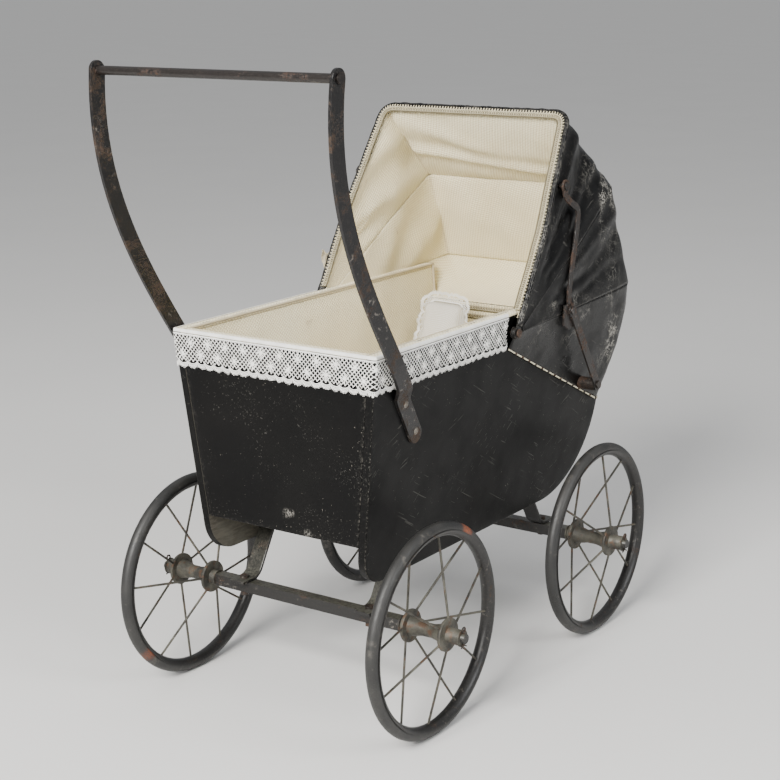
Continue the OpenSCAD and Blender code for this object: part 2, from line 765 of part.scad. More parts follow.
for (w = WHEELS) {
    place() at_wheel(w) tyre();
    place() at_wheel(w) rim();
    place() at_wheel(w) spoke_set();
    place() at_wheel(w) hub();
    place() at_spring(w) spring();
}
for (s = SIDES) {
    place() side_board(s);
    place() side_cover(s);
    place() side_lining(s);
    place() handle_arm(s);
    place() stay_upper(s);
    place() stay_lower(s);
}
place() axle(0);  // rear_axle
place() axle(wheelbase);  // front_axle
place() axle_washers();
place() split_pins();
place() spring_bolts();
place() floor_board();
place() foot_board();
place() foot_cover();
place() foot_lining();
place() head_board();
place() head_cover();
place() head_lining();
place() mattress();
place() pillow();
place() lace_trim();
place() handle_grip();
place() handle_screws();
place() hood_rivets();
place() bow(back, back_in);  // back_bow
place() bow(middle, middle_in);  // middle_bow
place() front_bow();
place() hood_cover_back();
place() hood_cover_middle();
place() hood_cover_front();
place() hood_lining_back();
place() hood_lining_middle();
place() hood_lining_front();
place() hood_braid();
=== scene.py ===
import math
import random
from fnmatch import fnmatchcase

import bpy
import numpy as np
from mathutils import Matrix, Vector, noise
from mathutils.geometry import delaunay_2d_cdt


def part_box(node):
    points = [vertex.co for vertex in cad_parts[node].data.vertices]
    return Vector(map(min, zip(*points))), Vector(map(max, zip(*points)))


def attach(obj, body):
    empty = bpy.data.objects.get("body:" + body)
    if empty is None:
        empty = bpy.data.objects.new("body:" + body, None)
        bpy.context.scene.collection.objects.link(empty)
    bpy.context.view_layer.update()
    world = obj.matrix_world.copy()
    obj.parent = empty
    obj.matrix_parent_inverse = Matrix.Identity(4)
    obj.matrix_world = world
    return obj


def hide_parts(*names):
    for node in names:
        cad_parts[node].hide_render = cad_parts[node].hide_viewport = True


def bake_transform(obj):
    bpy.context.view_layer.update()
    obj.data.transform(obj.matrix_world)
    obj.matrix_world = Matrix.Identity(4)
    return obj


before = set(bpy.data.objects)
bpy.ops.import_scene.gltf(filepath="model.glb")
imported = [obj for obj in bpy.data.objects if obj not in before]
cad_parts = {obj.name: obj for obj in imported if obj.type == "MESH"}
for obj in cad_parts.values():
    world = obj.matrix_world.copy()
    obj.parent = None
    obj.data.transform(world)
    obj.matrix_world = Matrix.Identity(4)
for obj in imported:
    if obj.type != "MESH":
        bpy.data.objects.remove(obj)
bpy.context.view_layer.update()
dice = random.Random(7)

# Lengths are in millimetres, with y counted from the rear axle as in the CAD. Materials are in metres.
axle_lo, axle_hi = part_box("rear_axle")
MID = -500 * (axle_lo.y + axle_hi.y)
PIVOT = (180.0, 337.0)
HOOD_X = 121.5
CORNER = 18.0
CREASE = 7.0
# A bow: its angle, the length of its straight leg, and its half width and radius at the top.
FRONT = (60.3, 100.0, 111.5, 229.0)
MIDDLE = (31.0, 145.0, 117.5, 234.0)
BACK = (3.1, 200.0, 118.0, 242.0)
LINING_EDGE = (5.5, 208.0, 118.0, 242.0)
FRONT_HEM = (FRONT[0] + 1.2, *FRONT[1:])
# The tub: its top edge, the lean of its walls and the height they lean from, and the layers of a wall.
TOP_Z = 355.0
TOP_HALF = 114.5
FOOT_Y = -44.5
SPLAY = math.atan(19.5 / 177)
FOOT_LEAN = math.atan(8.2 / 177)
HEAD_LEAN = 22 / 139
WALL_Z = 178
SKIN, BOARD, LINING = 0.8, 7.0, 2.5
WALL = SKIN + BOARD + LINING
SIDES = (("right", 1), ("left", -1))


def row(points):
    """Points in millimetres to the row frame in metres."""
    return (np.asarray(points, float) - np.array([0.0, MID, 0.0])) / 1000


def unit(v):
    v = np.asarray(v, float)
    return v / np.maximum(np.linalg.norm(v, axis=-1, keepdims=True), 1e-9)


def smooth_step(x, low, high):
    t = np.clip((np.asarray(x, float) - low) / (high - low), 0, 1)
    return t * t * (3 - 2 * t)


def bell(x, width):
    """1 at 0, and almost 0 at twice the width."""
    return np.exp(-((x / width) ** 2))


def held_at_ends(t, power):
    """0 where t is 0 or 1 and the cloth is sewn down, and 1 halfway."""
    return np.sin(np.pi * np.clip(t, 0, 1)) ** power


def rough(points, size, seed=0.0, octaves=2):
    """Smooth noise from -1 to 1 at each point, with lumps of about that size."""
    flat = np.asarray(points, float).reshape(-1, 3) / size + seed
    values = [noise.fractal(Vector(p), 1.0, 2.0, octaves, noise_basis="PERLIN_ORIGINAL") for p in flat]
    return np.array(values).reshape(np.asarray(points).shape[:-1])


def reach_of(points, axis=0):
    """How far each point of a line, or of a grid's rows or columns, is from the first."""
    return np.insert(np.linalg.norm(np.diff(points, axis=axis), axis=-1).cumsum(axis), 0, 0, axis)


def read_off(lines, reach, at):
    """Several lines, all with the same reach, read off at some distances."""
    return [np.stack([np.interp(at, reach, v) for v in line.T], axis=1) for line in lines]


def spread(line, count):
    """The same line with a number of points at even distances."""
    line = np.asarray(line, float)
    reach = reach_of(line)
    return list(read_off([line], reach, np.linspace(0, reach[-1], count))[0])


def bent(a, b, c, count):
    """A rounded corner from a to c that starts and ends towards b."""
    return [(1 - s) ** 2 * a + 2 * s * (1 - s) * b + s * s * c for s in np.linspace(0, 1, count)]


def mirrored(half):
    """A line that ends at x = 0, carried on to the other side."""
    half = np.array(half)
    other = half[-2::-1].copy()
    other[:, 0] *= -1
    return np.concatenate([half, other])


def configure(thing, **settings):
    """The same thing, with its properties set."""
    for name, value in settings.items():
        setattr(thing, name, value)
    return thing


# Materials


class Graph:
    """A material's nodes, with one call for each kind used here."""

    def __init__(self, name):
        self.material = bpy.data.materials.new(name)
        self.material.use_nodes = True
        self.tree = self.material.node_tree
        self.tree.nodes.clear()
        self.shader = self.node("BsdfPrincipled")
        self.node("OutputMaterial", {0: self.shader.outputs[0]})

    def node(self, kind, inputs=None, **settings):
        """A new node of a kind, with its inputs fed, each by its name or number."""
        made = configure(self.tree.nodes.new("ShaderNode" + kind), **settings)
        for name, value in (inputs or {}).items():
            self.feed(made.inputs[name], value)
        return made

    def feed(self, socket, value):
        if isinstance(value, bpy.types.NodeSocket):
            self.tree.links.new(value, socket)
        elif socket.type == "RGBA":
            socket.default_value = (*value, 1)
        else:
            socket.default_value = value

    def finish(self, **inputs):
        """The material, once its shader is fed."""
        for name, value in inputs.items():
            self.feed(self.shader.inputs[name.replace("_", " ")], value)
        return self.material

    def place(self, uv=False, scale=(1, 1, 1), turn=(0, 0, 0), kind="POINT"):
        """The piece's own coordinates or its UV map, scaled and turned."""
        coord = self.node("TexCoord").outputs["UV" if uv else "Object"]
        inputs = {"Vector": coord, "Scale": scale, "Rotation": turn}
        return self.node("Mapping", inputs, vector_type=kind).outputs[0]

    def streaks(self, turn, long=24.0):
        """Coordinates drawn out along y after a turn, so that noise on them makes fine lines."""
        return self.place(scale=(1, long, 1), turn=turn, kind="TEXTURE")

    def noise(self, vector, scale, detail=3.0, roughness=0.55, distortion=0.0):
        inputs = {"Vector": vector, "Scale": scale, "Detail": detail, "Roughness": roughness,
                  "Distortion": distortion}
        return self.node("TexNoise", inputs).outputs[0]

    def spots(self, vector, scale, low, high, *look):
        """Noise cut off softly between two levels; look is its detail, roughness and distortion."""
        return self.span(self.noise(vector, scale, *look), low, high)

    def cells(self, vector, scale, feature="F1", randomness=1.0):
        inputs = {"Vector": vector, "Scale": scale, "Randomness": randomness}
        return self.node("TexVoronoi", inputs, feature=feature).outputs["Distance"]

    def cracks(self, vector, scale, width):
        """1 on the borders between irregular cells, and 0 beyond a width."""
        return self.span(self.cells(vector, scale, "DISTANCE_TO_EDGE"), width, 0.0)

    def wobble(self, vector, scale, amount):
        """The same coordinates, shifted a little by noise, so that a regular pattern wanders."""
        shift = self.node("TexNoise", {"Vector": vector, "Scale": scale}).outputs["Color"]
        inputs = {0: shift, 1: (amount, amount, amount), 2: vector}
        return self.node("VectorMath", inputs, operation="MULTIPLY_ADD").outputs[0]

    def span(self, value, low, high, to_low=0.0, to_high=1.0):
        """A smooth step of the value from low to high."""
        inputs = {"Value": value, "From Min": low, "From Max": high, "To Min": to_low, "To Max": to_high}
        return self.node("MapRange", inputs, interpolation_type="SMOOTHSTEP").outputs[0]

    def math(self, operation, a, b):
        return self.node("Math", {0: a, 1: b}, operation=operation).outputs[0]

    def times(self, value, *factors):
        for factor in factors:
            value = self.math("MULTIPLY", value, factor)
        return value

    def mix(self, factor, a, b):
        return self.node("Mix", {0: factor, 6: a, 7: b}, data_type="RGBA").outputs[2]

    def over(self, colour, tint, *masks):
        """The tint laid over a colour, as far as the masks' product says."""
        return self.mix(self.times(*masks), colour, tint)

    def bump(self, height, distance, strength=1.0, normal=None):
        inputs = {"Strength": strength, "Distance": distance, "Height": height}
        if normal is not None:
            inputs["Normal"] = normal
        return self.node("Bump", inputs).outputs[0]

    def attribute(self, name):
        return self.node("Attribute", attribute_name=name).outputs["Fac"]

    def upward(self):
        """The piece's own normal's height: 1 on faces that look straight up."""
        return self.node("SeparateXYZ", {0: self.node("TexCoord").outputs["Normal"]}).outputs[2]

    def near(self, vector, point, radius):
        """1 at a point of the row frame, fading to 0 at the radius."""
        distance = self.node("VectorMath", {0: vector, 1: point}, operation="DISTANCE").outputs["Value"]
        return self.span(distance, radius, radius * 0.3)


def shade(colour, *factors):
    """A colour made darker or lighter, by one factor or by one for each channel."""
    return tuple(c * f for c, f in zip(colour, factors * 3 if len(factors) == 1 else factors))


# Where the foot panel is scuffed and the tyres are stained: a place in metres, and for the scuffs a radius.
SCUFFS = (((0.008, -0.1912, 0.197), 0.006), ((0.013, -0.1912, 0.198), 0.005),
          ((0.031, -0.1905, 0.181), 0.006))
STAINS = ((-0.142, -0.2245, 0.0415), (0.142, 0.0815, 0.0665), (0.148, -0.104, 0.184))
# A direction, the fineness of the lines, and the fineness of the patches they come in.
SCRATCHES = ((0.72, 700, 11), (0.42, 560, 17), (-0.5, 650, 23))
# Coarse and fine crazing: its fineness and width, and the fineness and levels of its patches.
CRAZING = ((95, 0.06, 230, 0.36, 0.56), (300, 0.11, 120, 0.42, 0.6))


def leathercloth(name, cracked, satin):
    """Black coated cloth, flecked and scratched, and crazed where the cracks field is high."""
    g = Graph(name)
    at = g.place()
    black, faded = (0.0009, 0.0009, 0.001), (0.0026, 0.0024, 0.0022)
    fleck = g.times(g.spots(at, 480, 0.72, 0.74, 2, 0.7), g.spots(at, 21, 0.38, 0.55, 2))
    scratch = crack = 0.0
    for turn, size, patch in SCRATCHES:
        line = g.spots(g.streaks((turn, 0.0, 0.05)), size, 0.7, 0.725, 1, 0.4)
        scratch = g.math("MAXIMUM", scratch, g.times(line, g.spots(at, patch, 0.5, 0.64, 2)))
    wander = g.wobble(at, 150, 0.009)
    for size, width, patch, low, high in CRAZING:
        line = g.times(g.cracks(wander, size, width), g.spots(at, patch, low, high, 2))
        crack = g.math("MAXIMUM", crack, line)
    where = g.spots(at, 19, 0.62 - 0.16 * cracked, 0.74 - 0.1 * cracked, 3, 0.6, 0.6)
    field = g.math("ADD", g.times(g.attribute("cracks"), 1.7), 0.05)
    crack = g.times(crack, where, cracked, field)
    edge = g.times(g.attribute("wear"), g.spots(at, 420, 0.5, 0.66, 3, 0.75))
    colour = g.mix(g.spots(at, 14, 0.3, 0.75, 4), black, faded)
    # Pale crazing where the cracks field is high; heaped at the knee and tail, it is partly painted
    # highlight.
    colour = g.mix(g.math("MINIMUM", crack, 0.85), colour, (0.4, 0.38, 0.335))
    colour = g.over(colour, (0.13, 0.125, 0.11), scratch, 0.32)
    for spot, size in SCUFFS:
        rubbed = g.spots(at, 600, 0.45, 0.6, 3, 0.7)
        colour = g.over(colour, (0.2, 0.19, 0.17), g.near(at, spot, size), rubbed, 0.8)
    colour = g.over(colour, (0.36, 0.33, 0.28), fleck, 0.55)
    colour = g.over(colour, (0.15, 0.14, 0.12), edge, 0.6)
    shine = g.span(g.noise(at, 33), 0.3, 0.75, satin - 0.03 - 0.07 * cracked, satin + 0.04 + 0.1 * cracked)
    grain = g.math("ADD", g.times(g.cells(at, 900), 0.5), g.times(g.noise(at, 1500, 2, 0.6), 0.5))
    damage = g.math("ADD", crack, g.times(scratch, 0.4))
    return g.finish(Base_Color=colour, Roughness=g.math("ADD", shine, g.times(edge, 0.25)),
                    Normal=g.bump(damage, 0.00025, 0.8, g.bump(grain, 0.00006)),
                    Specular_IOR_Level=0.11 + 0.13 * cracked)


def cotton(name, cell=0.0031, turn=0.785, tint=(0.97, 0.91, 0.67)):
    """Ribbed cotton pique, woven in small raised cells, with painted shade in the grooves between them."""
    g = Graph(name)
    at = g.place()
    weave = g.cells(g.place(uv=True, scale=(1, 1.25, 1), turn=(0, 0, turn)), 1 / cell, "F1", 0.0)
    yarn = g.noise(g.place(uv=True, scale=(1, 5, 1)), 900, 2, 0.6)
    stain = g.times(g.spots(at, 60, 0.7, 0.78, 2, 0.5, 0.8), g.spots(at, 12, 0.5, 0.62))
    colour = g.mix(g.spots(at, 9, 0.3, 0.7), shade(tint, 0.94, 0.91, 0.84), tint)
    # Painted shade: the colour darkens in the grooves between the raised cells, where the bump is low.
    colour = g.mix(g.span(weave, 0.3, 0.6, 0.0, 0.75), colour, shade(tint, 0.68, 0.57, 0.4))
    # Brown along worn edges, and along the lining's corner seams as painted shade of their crease.
    colour = g.over(colour, (0.42, 0.31, 0.17), g.attribute("wear"), 0.45)
    colour = g.over(colour, (0.34, 0.2, 0.08), stain, 0.5)
    height = g.math("SUBTRACT", g.times(yarn, 0.25), weave)
    return g.finish(Base_Color=colour, Roughness=0.86, Normal=g.bump(height, 0.0014), Sheen_Weight=0.25,
                    Specular_IOR_Level=0.25)


def thread(name, tint, dark):
    """Twisted cotton thread, for lace and braid; the attribute tone turns it to the darker tint."""
    g = Graph(name)
    twist = g.noise(g.place(turn=(0.5, 0.5, 0.5)), 1700, 2, 0.6)
    colour = g.mix(g.spots(g.place(), 70, 0.35, 0.72), tint, shade(tint, 0.86))
    colour = g.over(colour, dark, g.attribute("tone"))
    # Painted shade: darker in the grooves of the twist, where the bump is low.
    colour = g.over(colour, dark, g.span(twist, 0.45, 0.25, 0, 0.35))
    return g.finish(Base_Color=colour, Roughness=0.88, Normal=g.bump(twist, 0.0002, 0.7), Sheen_Weight=0.2,
                    Specular_IOR_Level=0.2)


def old_steel(name, rust, bright, dark, brown=(0.04, 0.022, 0.0125), shine=0.38, dust=0.0):
    """Dark painted steel, rubbed through to brown rust and to bare metal in places."""
    g = Graph(name)
    at = g.place()
    broad = g.noise(at, 42, 5, 0.65, 0.5)
    fine = g.noise(at, 520, 3, 0.7)
    rusty = g.math("ADD", g.times(broad, 0.62), g.times(fine, 0.38))
    rusty = g.span(rusty, 0.62 - 0.2 * rust, 0.7 - 0.16 * rust)
    bare = g.times(g.spots(at, 160, 0.58, 0.68, 4, 0.75), g.spots(at, 25, 0.45, 0.62, 2), bright)
    colour = g.mix(g.span(fine, 0.3, 0.7), dark, shade(dark, 1.9))
    tone = g.mix(g.spots(at, 210, 0.35, 0.65), brown, shade(brown, 1.7))
    colour = g.over(colour, tone, rusty, 0.8)
    colour = g.over(colour, (0.33, 0.3, 0.26), bare)
    if dust:
        # Paler on faces that look up: dust settled there, and painted highlight along their tops.
        dust_and_highlight = g.times(g.span(g.upward(), -0.1, 0.95), g.spots(at, 420, 0.3, 0.62, 4, 0.75))
        colour = g.over(colour, (0.13, 0.127, 0.1), dust_and_highlight, dust)
    height = g.math("ADD", g.times(rusty, 0.7), g.times(fine, 0.5))
    return g.finish(Base_Color=colour, Metallic=g.math("MAXIMUM", g.times(bare, 0.9), 0.25),
                    Roughness=g.span(rusty, 0.0, 1.0, shine, 0.72), Normal=g.bump(height, 0.00022, 0.8))


def dusty_wire(name):
    """Grey steel under dust, with brown rust in patches."""
    g = Graph(name)
    at = g.place()
    cloud = g.noise(at, 55, 4, 0.65)
    fine = g.noise(at, 700, 3, 0.7)
    colour = g.mix(g.span(cloud, 0.35, 0.65), (0.032, 0.03, 0.025), (0.1, 0.094, 0.074))
    colour = g.over(colour, (0.095, 0.046, 0.022), g.span(g.noise(at, 130), 0.53, 0.68, 0, 0.75))
    return g.finish(Base_Color=colour, Metallic=0.35, Roughness=g.span(fine, 0.3, 0.7, 0.45, 0.75),
                    Normal=g.bump(g.math("ADD", cloud, fine), 0.0002, 0.7))


def rubber(name):
    """Old rubber: dull, finely cracked and dusty, with a few orange stains."""
    g = Graph(name)
    at = g.place()
    fine = g.noise(at, 900, 3, 0.7)
    crack = g.times(g.cracks(at, 420, 0.05), g.spots(at, 40, 0.5, 0.65))
    colour = g.mix(g.spots(at, 30, 0.3, 0.7, 4), (0.012, 0.012, 0.0115), (0.026, 0.025, 0.023))
    colour = g.over(colour, (0.11, 0.1, 0.085), g.span(g.noise(at, 75, 4, 0.7), 0.57, 0.74, 0, 0.5))
    for spot in STAINS:
        colour = g.over(colour, (0.32, 0.075, 0.018), g.near(at, spot, 0.012), g.span(fine, 0.38, 0.55), 0.8)
    return g.finish(Base_Color=colour, Roughness=g.span(fine, 0.3, 0.7, 0.4, 0.62),
                    Normal=g.bump(g.math("SUBTRACT", fine, crack), 0.00015, 0.7))


def bare_wood(name):
    """Unpainted boards with the grain along the pram, and dust on them."""
    g = Graph(name)
    grain = g.noise(g.place(scale=(6, 1, 6)), 60, 5, 0.6, 1.2)
    colour = g.mix(g.span(grain, 0.35, 0.65), (0.036, 0.03, 0.022), (0.086, 0.075, 0.056))
    dust = g.span(g.noise(g.place(), 40, 4), 0.4, 0.7, 0.1, 0.6)
    colour = g.over(colour, (0.08, 0.078, 0.06), dust)
    return g.finish(Base_Color=colour, Roughness=0.8, Normal=g.bump(grain, 0.0003, 0.7))


MAT = {
    "boards": leathercloth("leathercloth_boards", 0.2, 0.42),
    "hood": leathercloth("leathercloth_hood", 1.0, 0.33),
    "lining": cotton("cotton_pique"),
    "roof": cotton("cotton_pique_roof", 0.0031, 0.3),
    "pad": cotton("cotton_pad", 0.0034, 0.0),
    "white": cotton("white_cotton", 0.0011, 0.0, (0.93, 0.92, 0.88)),
    "lace": thread("lace_thread", (0.88, 0.87, 0.83), (0.5, 0.46, 0.37)),
    "gimp": thread("gimp_thread", (0.66, 0.59, 0.41), (0.11, 0.09, 0.045)),
    "piping": thread("piping_thread", (0.74, 0.68, 0.5), (0.33, 0.25, 0.14)),
    "handle": old_steel("handle_steel", 0.6, 0.5, (0.0075, 0.007, 0.007), (0.036, 0.021, 0.012), 0.34),
    "grip": old_steel("grip_steel", 0.35, 0.1, (0.011, 0.009, 0.008), (0.04, 0.02, 0.012), 0.35),
    "frame": old_steel("running_gear_steel", 0.35, 0.45, (0.009, 0.0085, 0.008), dust=0.6),
    "bow": old_steel("bow_steel", 0.35, 0.45, (0.009, 0.0085, 0.008)),
    "screw": old_steel("screw_steel", 0.35, 1.0, (0.1, 0.09, 0.075), (0.06, 0.035, 0.02), 0.3),
    "rim": old_steel("rim_steel", 0.3, 0.3, (0.012, 0.0115, 0.011)),
    "stay": old_steel("stay_steel", 0.7, 0.7, (0.014, 0.012, 0.011), (0.05, 0.027, 0.016), 0.32),
    "bolt": old_steel("bolt_steel", 0.7, 0.6, (0.016, 0.013, 0.011), (0.05, 0.027, 0.016)),
    "wire": dusty_wire("dusty_wire"),
    "tyre": rubber("rubber_tyre"),
    "wood": bare_wood("bare_wood"),
}


# Meshes


def add_object(name, data):
    obj = bpy.data.objects.new(name, data)
    bpy.context.scene.collection.objects.link(obj)
    return obj


def corners_of(mesh):
    """Where a mesh's vertices are, in metres."""
    flat = np.zeros(len(mesh.vertices) * 3, np.float32)
    mesh.vertices.foreach_get("co", flat)
    return flat.reshape(-1, 3)


def move_corners(mesh, points):
    mesh.vertices.foreach_set("co", points.astype(np.float32).ravel())


def add_uv(mesh, flat):
    """A UV map from one flat place for each vertex, in metres."""
    index = np.zeros(len(mesh.loops), np.int32)
    layer = mesh.uv_layers.new(name="UVMap")
    mesh.loops.foreach_get("vertex_index", index)
    layer.data.foreach_set("uv", flat[index].astype(np.float32).ravel())


def piece(name, shape, material, slot, body, fields=None, smooth=True, replaces=(), sheet=None):
    """A visible piece from its points, faces and, for a sheet, flat coordinates, parented to its body if it
    has one.
    """
    points, faces, *uv = shape
    mesh = bpy.data.meshes.new(name)
    mesh.from_pydata(row(points).tolist(), [], [tuple(int(i) for i in f) for f in faces])
    mesh.polygons.foreach_set("use_smooth", [smooth] * len(mesh.polygons))
    if uv:
        add_uv(mesh, np.asarray(uv[0], float) / 1000)
    for field, values in (fields or {}).items():
        data = mesh.attributes.new(field, "FLOAT", "POINT").data
        data.foreach_set("value", np.asarray(values, np.float32).ravel())
    mesh.update()
    mesh.materials.append(MAT[material])
    obj = add_object(name, mesh)
    if body:
        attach(obj, body)
    if replaces:
        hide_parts(*replaces)
    return obj


def grid_normals(p, inside):
    """A grid's unit normals, away from a point inside, and whether they had to be turned."""
    n = unit(np.cross(np.gradient(p, axis=1), np.gradient(p, axis=0)))
    if np.sum((p - np.asarray(inside)) * n) < 0:
        return -n, True
    return n, False


def sheet_mesh(p, thick, inside):
    """A closed sheet from a grid of points on its outer side: its points, faces and flat coordinates."""
    rows, cols = p.shape[:2]
    n, flipped = grid_normals(p, inside)
    along = reach_of(p, 1)
    uv = np.stack([along - along[:, cols // 2][:, None], reach_of(p)], axis=2).reshape(-1, 2)
    points = np.concatenate([p.reshape(-1, 3), (p - n * thick).reshape(-1, 3)])
    deep = rows * cols
    at = np.arange(deep).reshape(rows, cols)
    a, b, c, d = at[:-1, :-1].ravel(), at[:-1, 1:].ravel(), at[1:, 1:].ravel(), at[1:, :-1].ravel()
    top = np.stack([a, d, c, b] if flipped else [a, b, c, d], axis=1)
    low = top[:, ::-1] + deep
    ring = np.concatenate([at[0, :-1], at[:-1, -1], at[-1, :0:-1], at[:0:-1, 0]])
    nxt = np.roll(ring, -1)
    side = [ring, nxt, nxt + deep, ring + deep] if flipped else [ring, ring + deep, nxt + deep, nxt]
    return points, np.concatenate([top, low, np.stack(side, axis=1)]), np.concatenate([uv, uv])


def doubled(values):
    """A grid's values for both sides of its sheet."""
    return np.tile(values.ravel(), 2)


def ring_faces(rings, count):
    """The faces between rings of points that follow each other."""
    faces = []
    for k in range(rings - 1):
        for j in range(count):
            i = (j + 1) % count
            faces.append((k * count + j, k * count + i, (k + 1) * count + i, (k + 1) * count + j))
    return faces


def tube(path, radius, sides=8):
    """A closed tube along a path, with a radius for each point or one for all."""
    path = np.asarray(path, float)
    radius = np.broadcast_to(np.asarray(radius, float), (len(path),))
    t = unit(np.gradient(path, axis=0))
    ref = np.array([0.0, 0.0, 1.0])
    if abs(t[0] @ ref) > 0.9:
        ref = np.array([1.0, 0.0, 0.0])
    side = []
    for direction in t:
        s = ref - direction * (ref @ direction)
        ref = s / np.linalg.norm(s)
        side.append(ref)
    side = np.array(side)
    other = np.cross(t, side)
    angle = np.linspace(0, 2 * math.pi, sides, endpoint=False)[None, :, None]
    out = np.cos(angle) * side[:, None] + np.sin(angle) * other[:, None]
    rings = path[:, None] + radius[:, None, None] * out
    points = np.concatenate([rings.reshape(-1, 3), path[:1], path[-1:]])
    faces = ring_faces(len(path), sides)
    last = (len(path) - 1) * sides
    end = len(path) * sides
    for j in range(sides):
        i = (j + 1) % sides
        faces += [(i, j, end), (last + j, last + i, end + 1)]
    return points, faces


class Heap:
    """Several small meshes gathered into one piece."""

    def __init__(self):
        self.points, self.faces, self.tone, self.count = [], [], [], 0

    def add(self, points, faces, tone=0.0):
        points = np.asarray(points, float)
        self.points.append(points)
        self.faces.extend([tuple(int(i) + self.count for i in f) for f in faces])
        self.tone.append(np.full(len(points), tone))
        self.count += len(points)

    def strand(self, line, wide, thick, height=0.0, tone=0.0):
        """A flat thread along a line of (u, v) points, in the pattern's own plane."""
        line = np.asarray(line, float)
        t = unit(np.gradient(line, axis=0))
        n = np.stack([-t[:, 1], t[:, 0]], axis=1) * wide / 2
        h = np.broadcast_to(np.asarray(height, float), (len(line),))
        ring = np.stack([np.column_stack(side) for side in (
            (line + n, h), (line, h + thick / 2), (line - n, h), (line, h - thick / 2))], axis=1)
        faces = [(b, a, d, c) for a, b, c, d in ring_faces(len(line), 4)]
        end = (len(line) - 1) * 4
        faces += [(0, 1, 2, 3), (end + 3, end + 2, end + 1, end)]
        self.add(ring.reshape(-1, 3), faces, tone)

    def boss(self, centre, reach, high, sides=8, height=0.0, turn=0.0):
        """A small domed knot in the pattern's plane."""
        angle = np.arange(sides) * 2 * math.pi / sides + turn
        ring = np.asarray(centre) + reach * np.stack([np.cos(angle), np.sin(angle)], axis=1)
        points = np.concatenate([np.column_stack([ring, np.full(sides, height)]),
                                 [[*centre, height + high], [*centre, height - high]]])
        faces = []
        for j in range(sides):
            i = (j + 1) % sides
            faces += [(j, i, sides), (i, j, sides + 1)]
        self.add(points, faces)

    def all(self):
        return np.concatenate(self.points), self.faces, np.concatenate(self.tone)


# Coverings on the flat boards


# How alike two faces' normals and depths, and how near two corners have to be, to count as the same.
SAME_WAY, SAME_DEPTH, CORNERS_PER_METRE = 0.999, 0.00005, 50000


def picked_faces(mesh, toward):
    """The faces of the flat side of a CAD node that looks roughly that way, and their exact normal."""
    toward = Vector(toward)
    n = sum((f.normal * f.area for f in mesh.polygons if f.normal.dot(toward) > 0.7), Vector()).normalized()
    picked = [f for f in mesh.polygons if f.normal.dot(n) > SAME_WAY]
    far = max(f.center.dot(n) for f in picked)
    return [f for f in picked if f.center.dot(n) > far - SAME_DEPTH], n


def border(mesh, picked):
    """The longest loop of edges round the picked faces, in millimetres."""
    numbers, places, edges = {}, {}, {}
    for f in picked:
        ids = []
        for co in (mesh.vertices[i].co for i in f.vertices):
            ids.append(numbers.setdefault(tuple(round(c * CORNERS_PER_METRE) for c in co), len(numbers)))
            places.setdefault(ids[-1], np.array(co) * 1000 + np.array([0, MID, 0]))
        edges.update({(a, b): True for a, b in zip(ids, ids[1:] + ids[:1]) if a != b})
    step = {a: b for a, b in edges if (b, a) not in edges}
    loops = []
    while step:
        start, at = next(iter(step.items()))
        loop = [start]
        del step[start]
        while at != start and at in step:
            loop.append(at)
            at = step.pop(at)
        loops.append(np.array([places[i] for i in loop]))
    return max(loops, key=lambda loop: np.linalg.norm(np.ptp(loop, axis=0)))


def face_of(node, toward):
    """The flat face of a CAD node that looks that way: its plane and its outline, in millimetres."""
    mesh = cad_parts[node].data
    picked, n = picked_faces(mesh, toward)
    points = border(mesh, picked)
    n = np.array(n)
    u = unit(np.cross([0, 0, 1], n))
    v = np.cross(n, u)
    origin = points.mean(axis=0)
    flat = np.stack([(points - origin) @ u, (points - origin) @ v], axis=1)
    area = 0.5 * np.sum(flat[:, 0] * np.roll(flat[:, 1], -1) - np.roll(flat[:, 0], -1) * flat[:, 1])
    return {"o": origin, "u": u, "v": v, "n": n, "loop": flat[::-1] if area < 0 else flat, "area": abs(area)}


def outline(loop, step):
    """The outline with points no further apart than a step."""
    out = []
    for a, b in zip(loop, np.roll(loop, -1, axis=0)):
        count = max(1, int(math.ceil(np.linalg.norm(b - a) / step)))
        out += [a + (b - a) * k / count for k in range(count)]
    out = np.array(out)
    return out[np.linalg.norm(out - np.roll(out, 1, axis=0), axis=1) > 0.3]


def inward(ring):
    """At each point of a ring, the way in that keeps a band along it evenly wide."""
    before = unit(ring - np.roll(ring, 1, axis=0))
    after = unit(np.roll(ring, -1, axis=0) - ring)
    left = np.stack([-before[:, 1], before[:, 0]], axis=1)
    right = np.stack([-after[:, 1], after[:, 0]], axis=1)
    return (left + right) / np.maximum(1 + np.sum(left * right, axis=1), 0.5)[:, None]


def filling(ring, cell):
    """Staggered points inside a ring, and how far each is from it."""
    lo, hi = ring.min(axis=0), ring.max(axis=0)
    gx, gy = np.meshgrid(np.arange(lo[0] + cell / 2, hi[0], cell), np.arange(lo[1] + cell / 2, hi[1], cell))
    gx = gx + np.where(np.arange(gx.shape[0]) % 2, cell / 2, 0)[:, None]
    grid = np.stack([gx.ravel(), gy.ravel()], axis=1)
    a, b = ring, np.roll(ring, -1, axis=0)
    d = b - a
    crossing = ((a[None, :, 1] > grid[:, None, 1]) != (b[None, :, 1] > grid[:, None, 1]))
    with np.errstate(divide="ignore", invalid="ignore"):
        x = a[None, :, 0] + (grid[:, None, 1] - a[None, :, 1]) / d[None, :, 1] * d[None, :, 0]
    inside = np.sum(crossing & (x > grid[:, None, 0]), axis=1) % 2 == 1
    s = np.clip(np.sum((grid[:, None] - a[None]) * d[None], axis=2) / np.sum(d * d, axis=1), 0, 1)
    gap = np.linalg.norm(grid[:, None] - (a[None] + s[..., None] * d[None]), axis=2).min(axis=1)
    keep = inside & (gap > 0.45 * cell)
    return grid[keep], gap[keep]


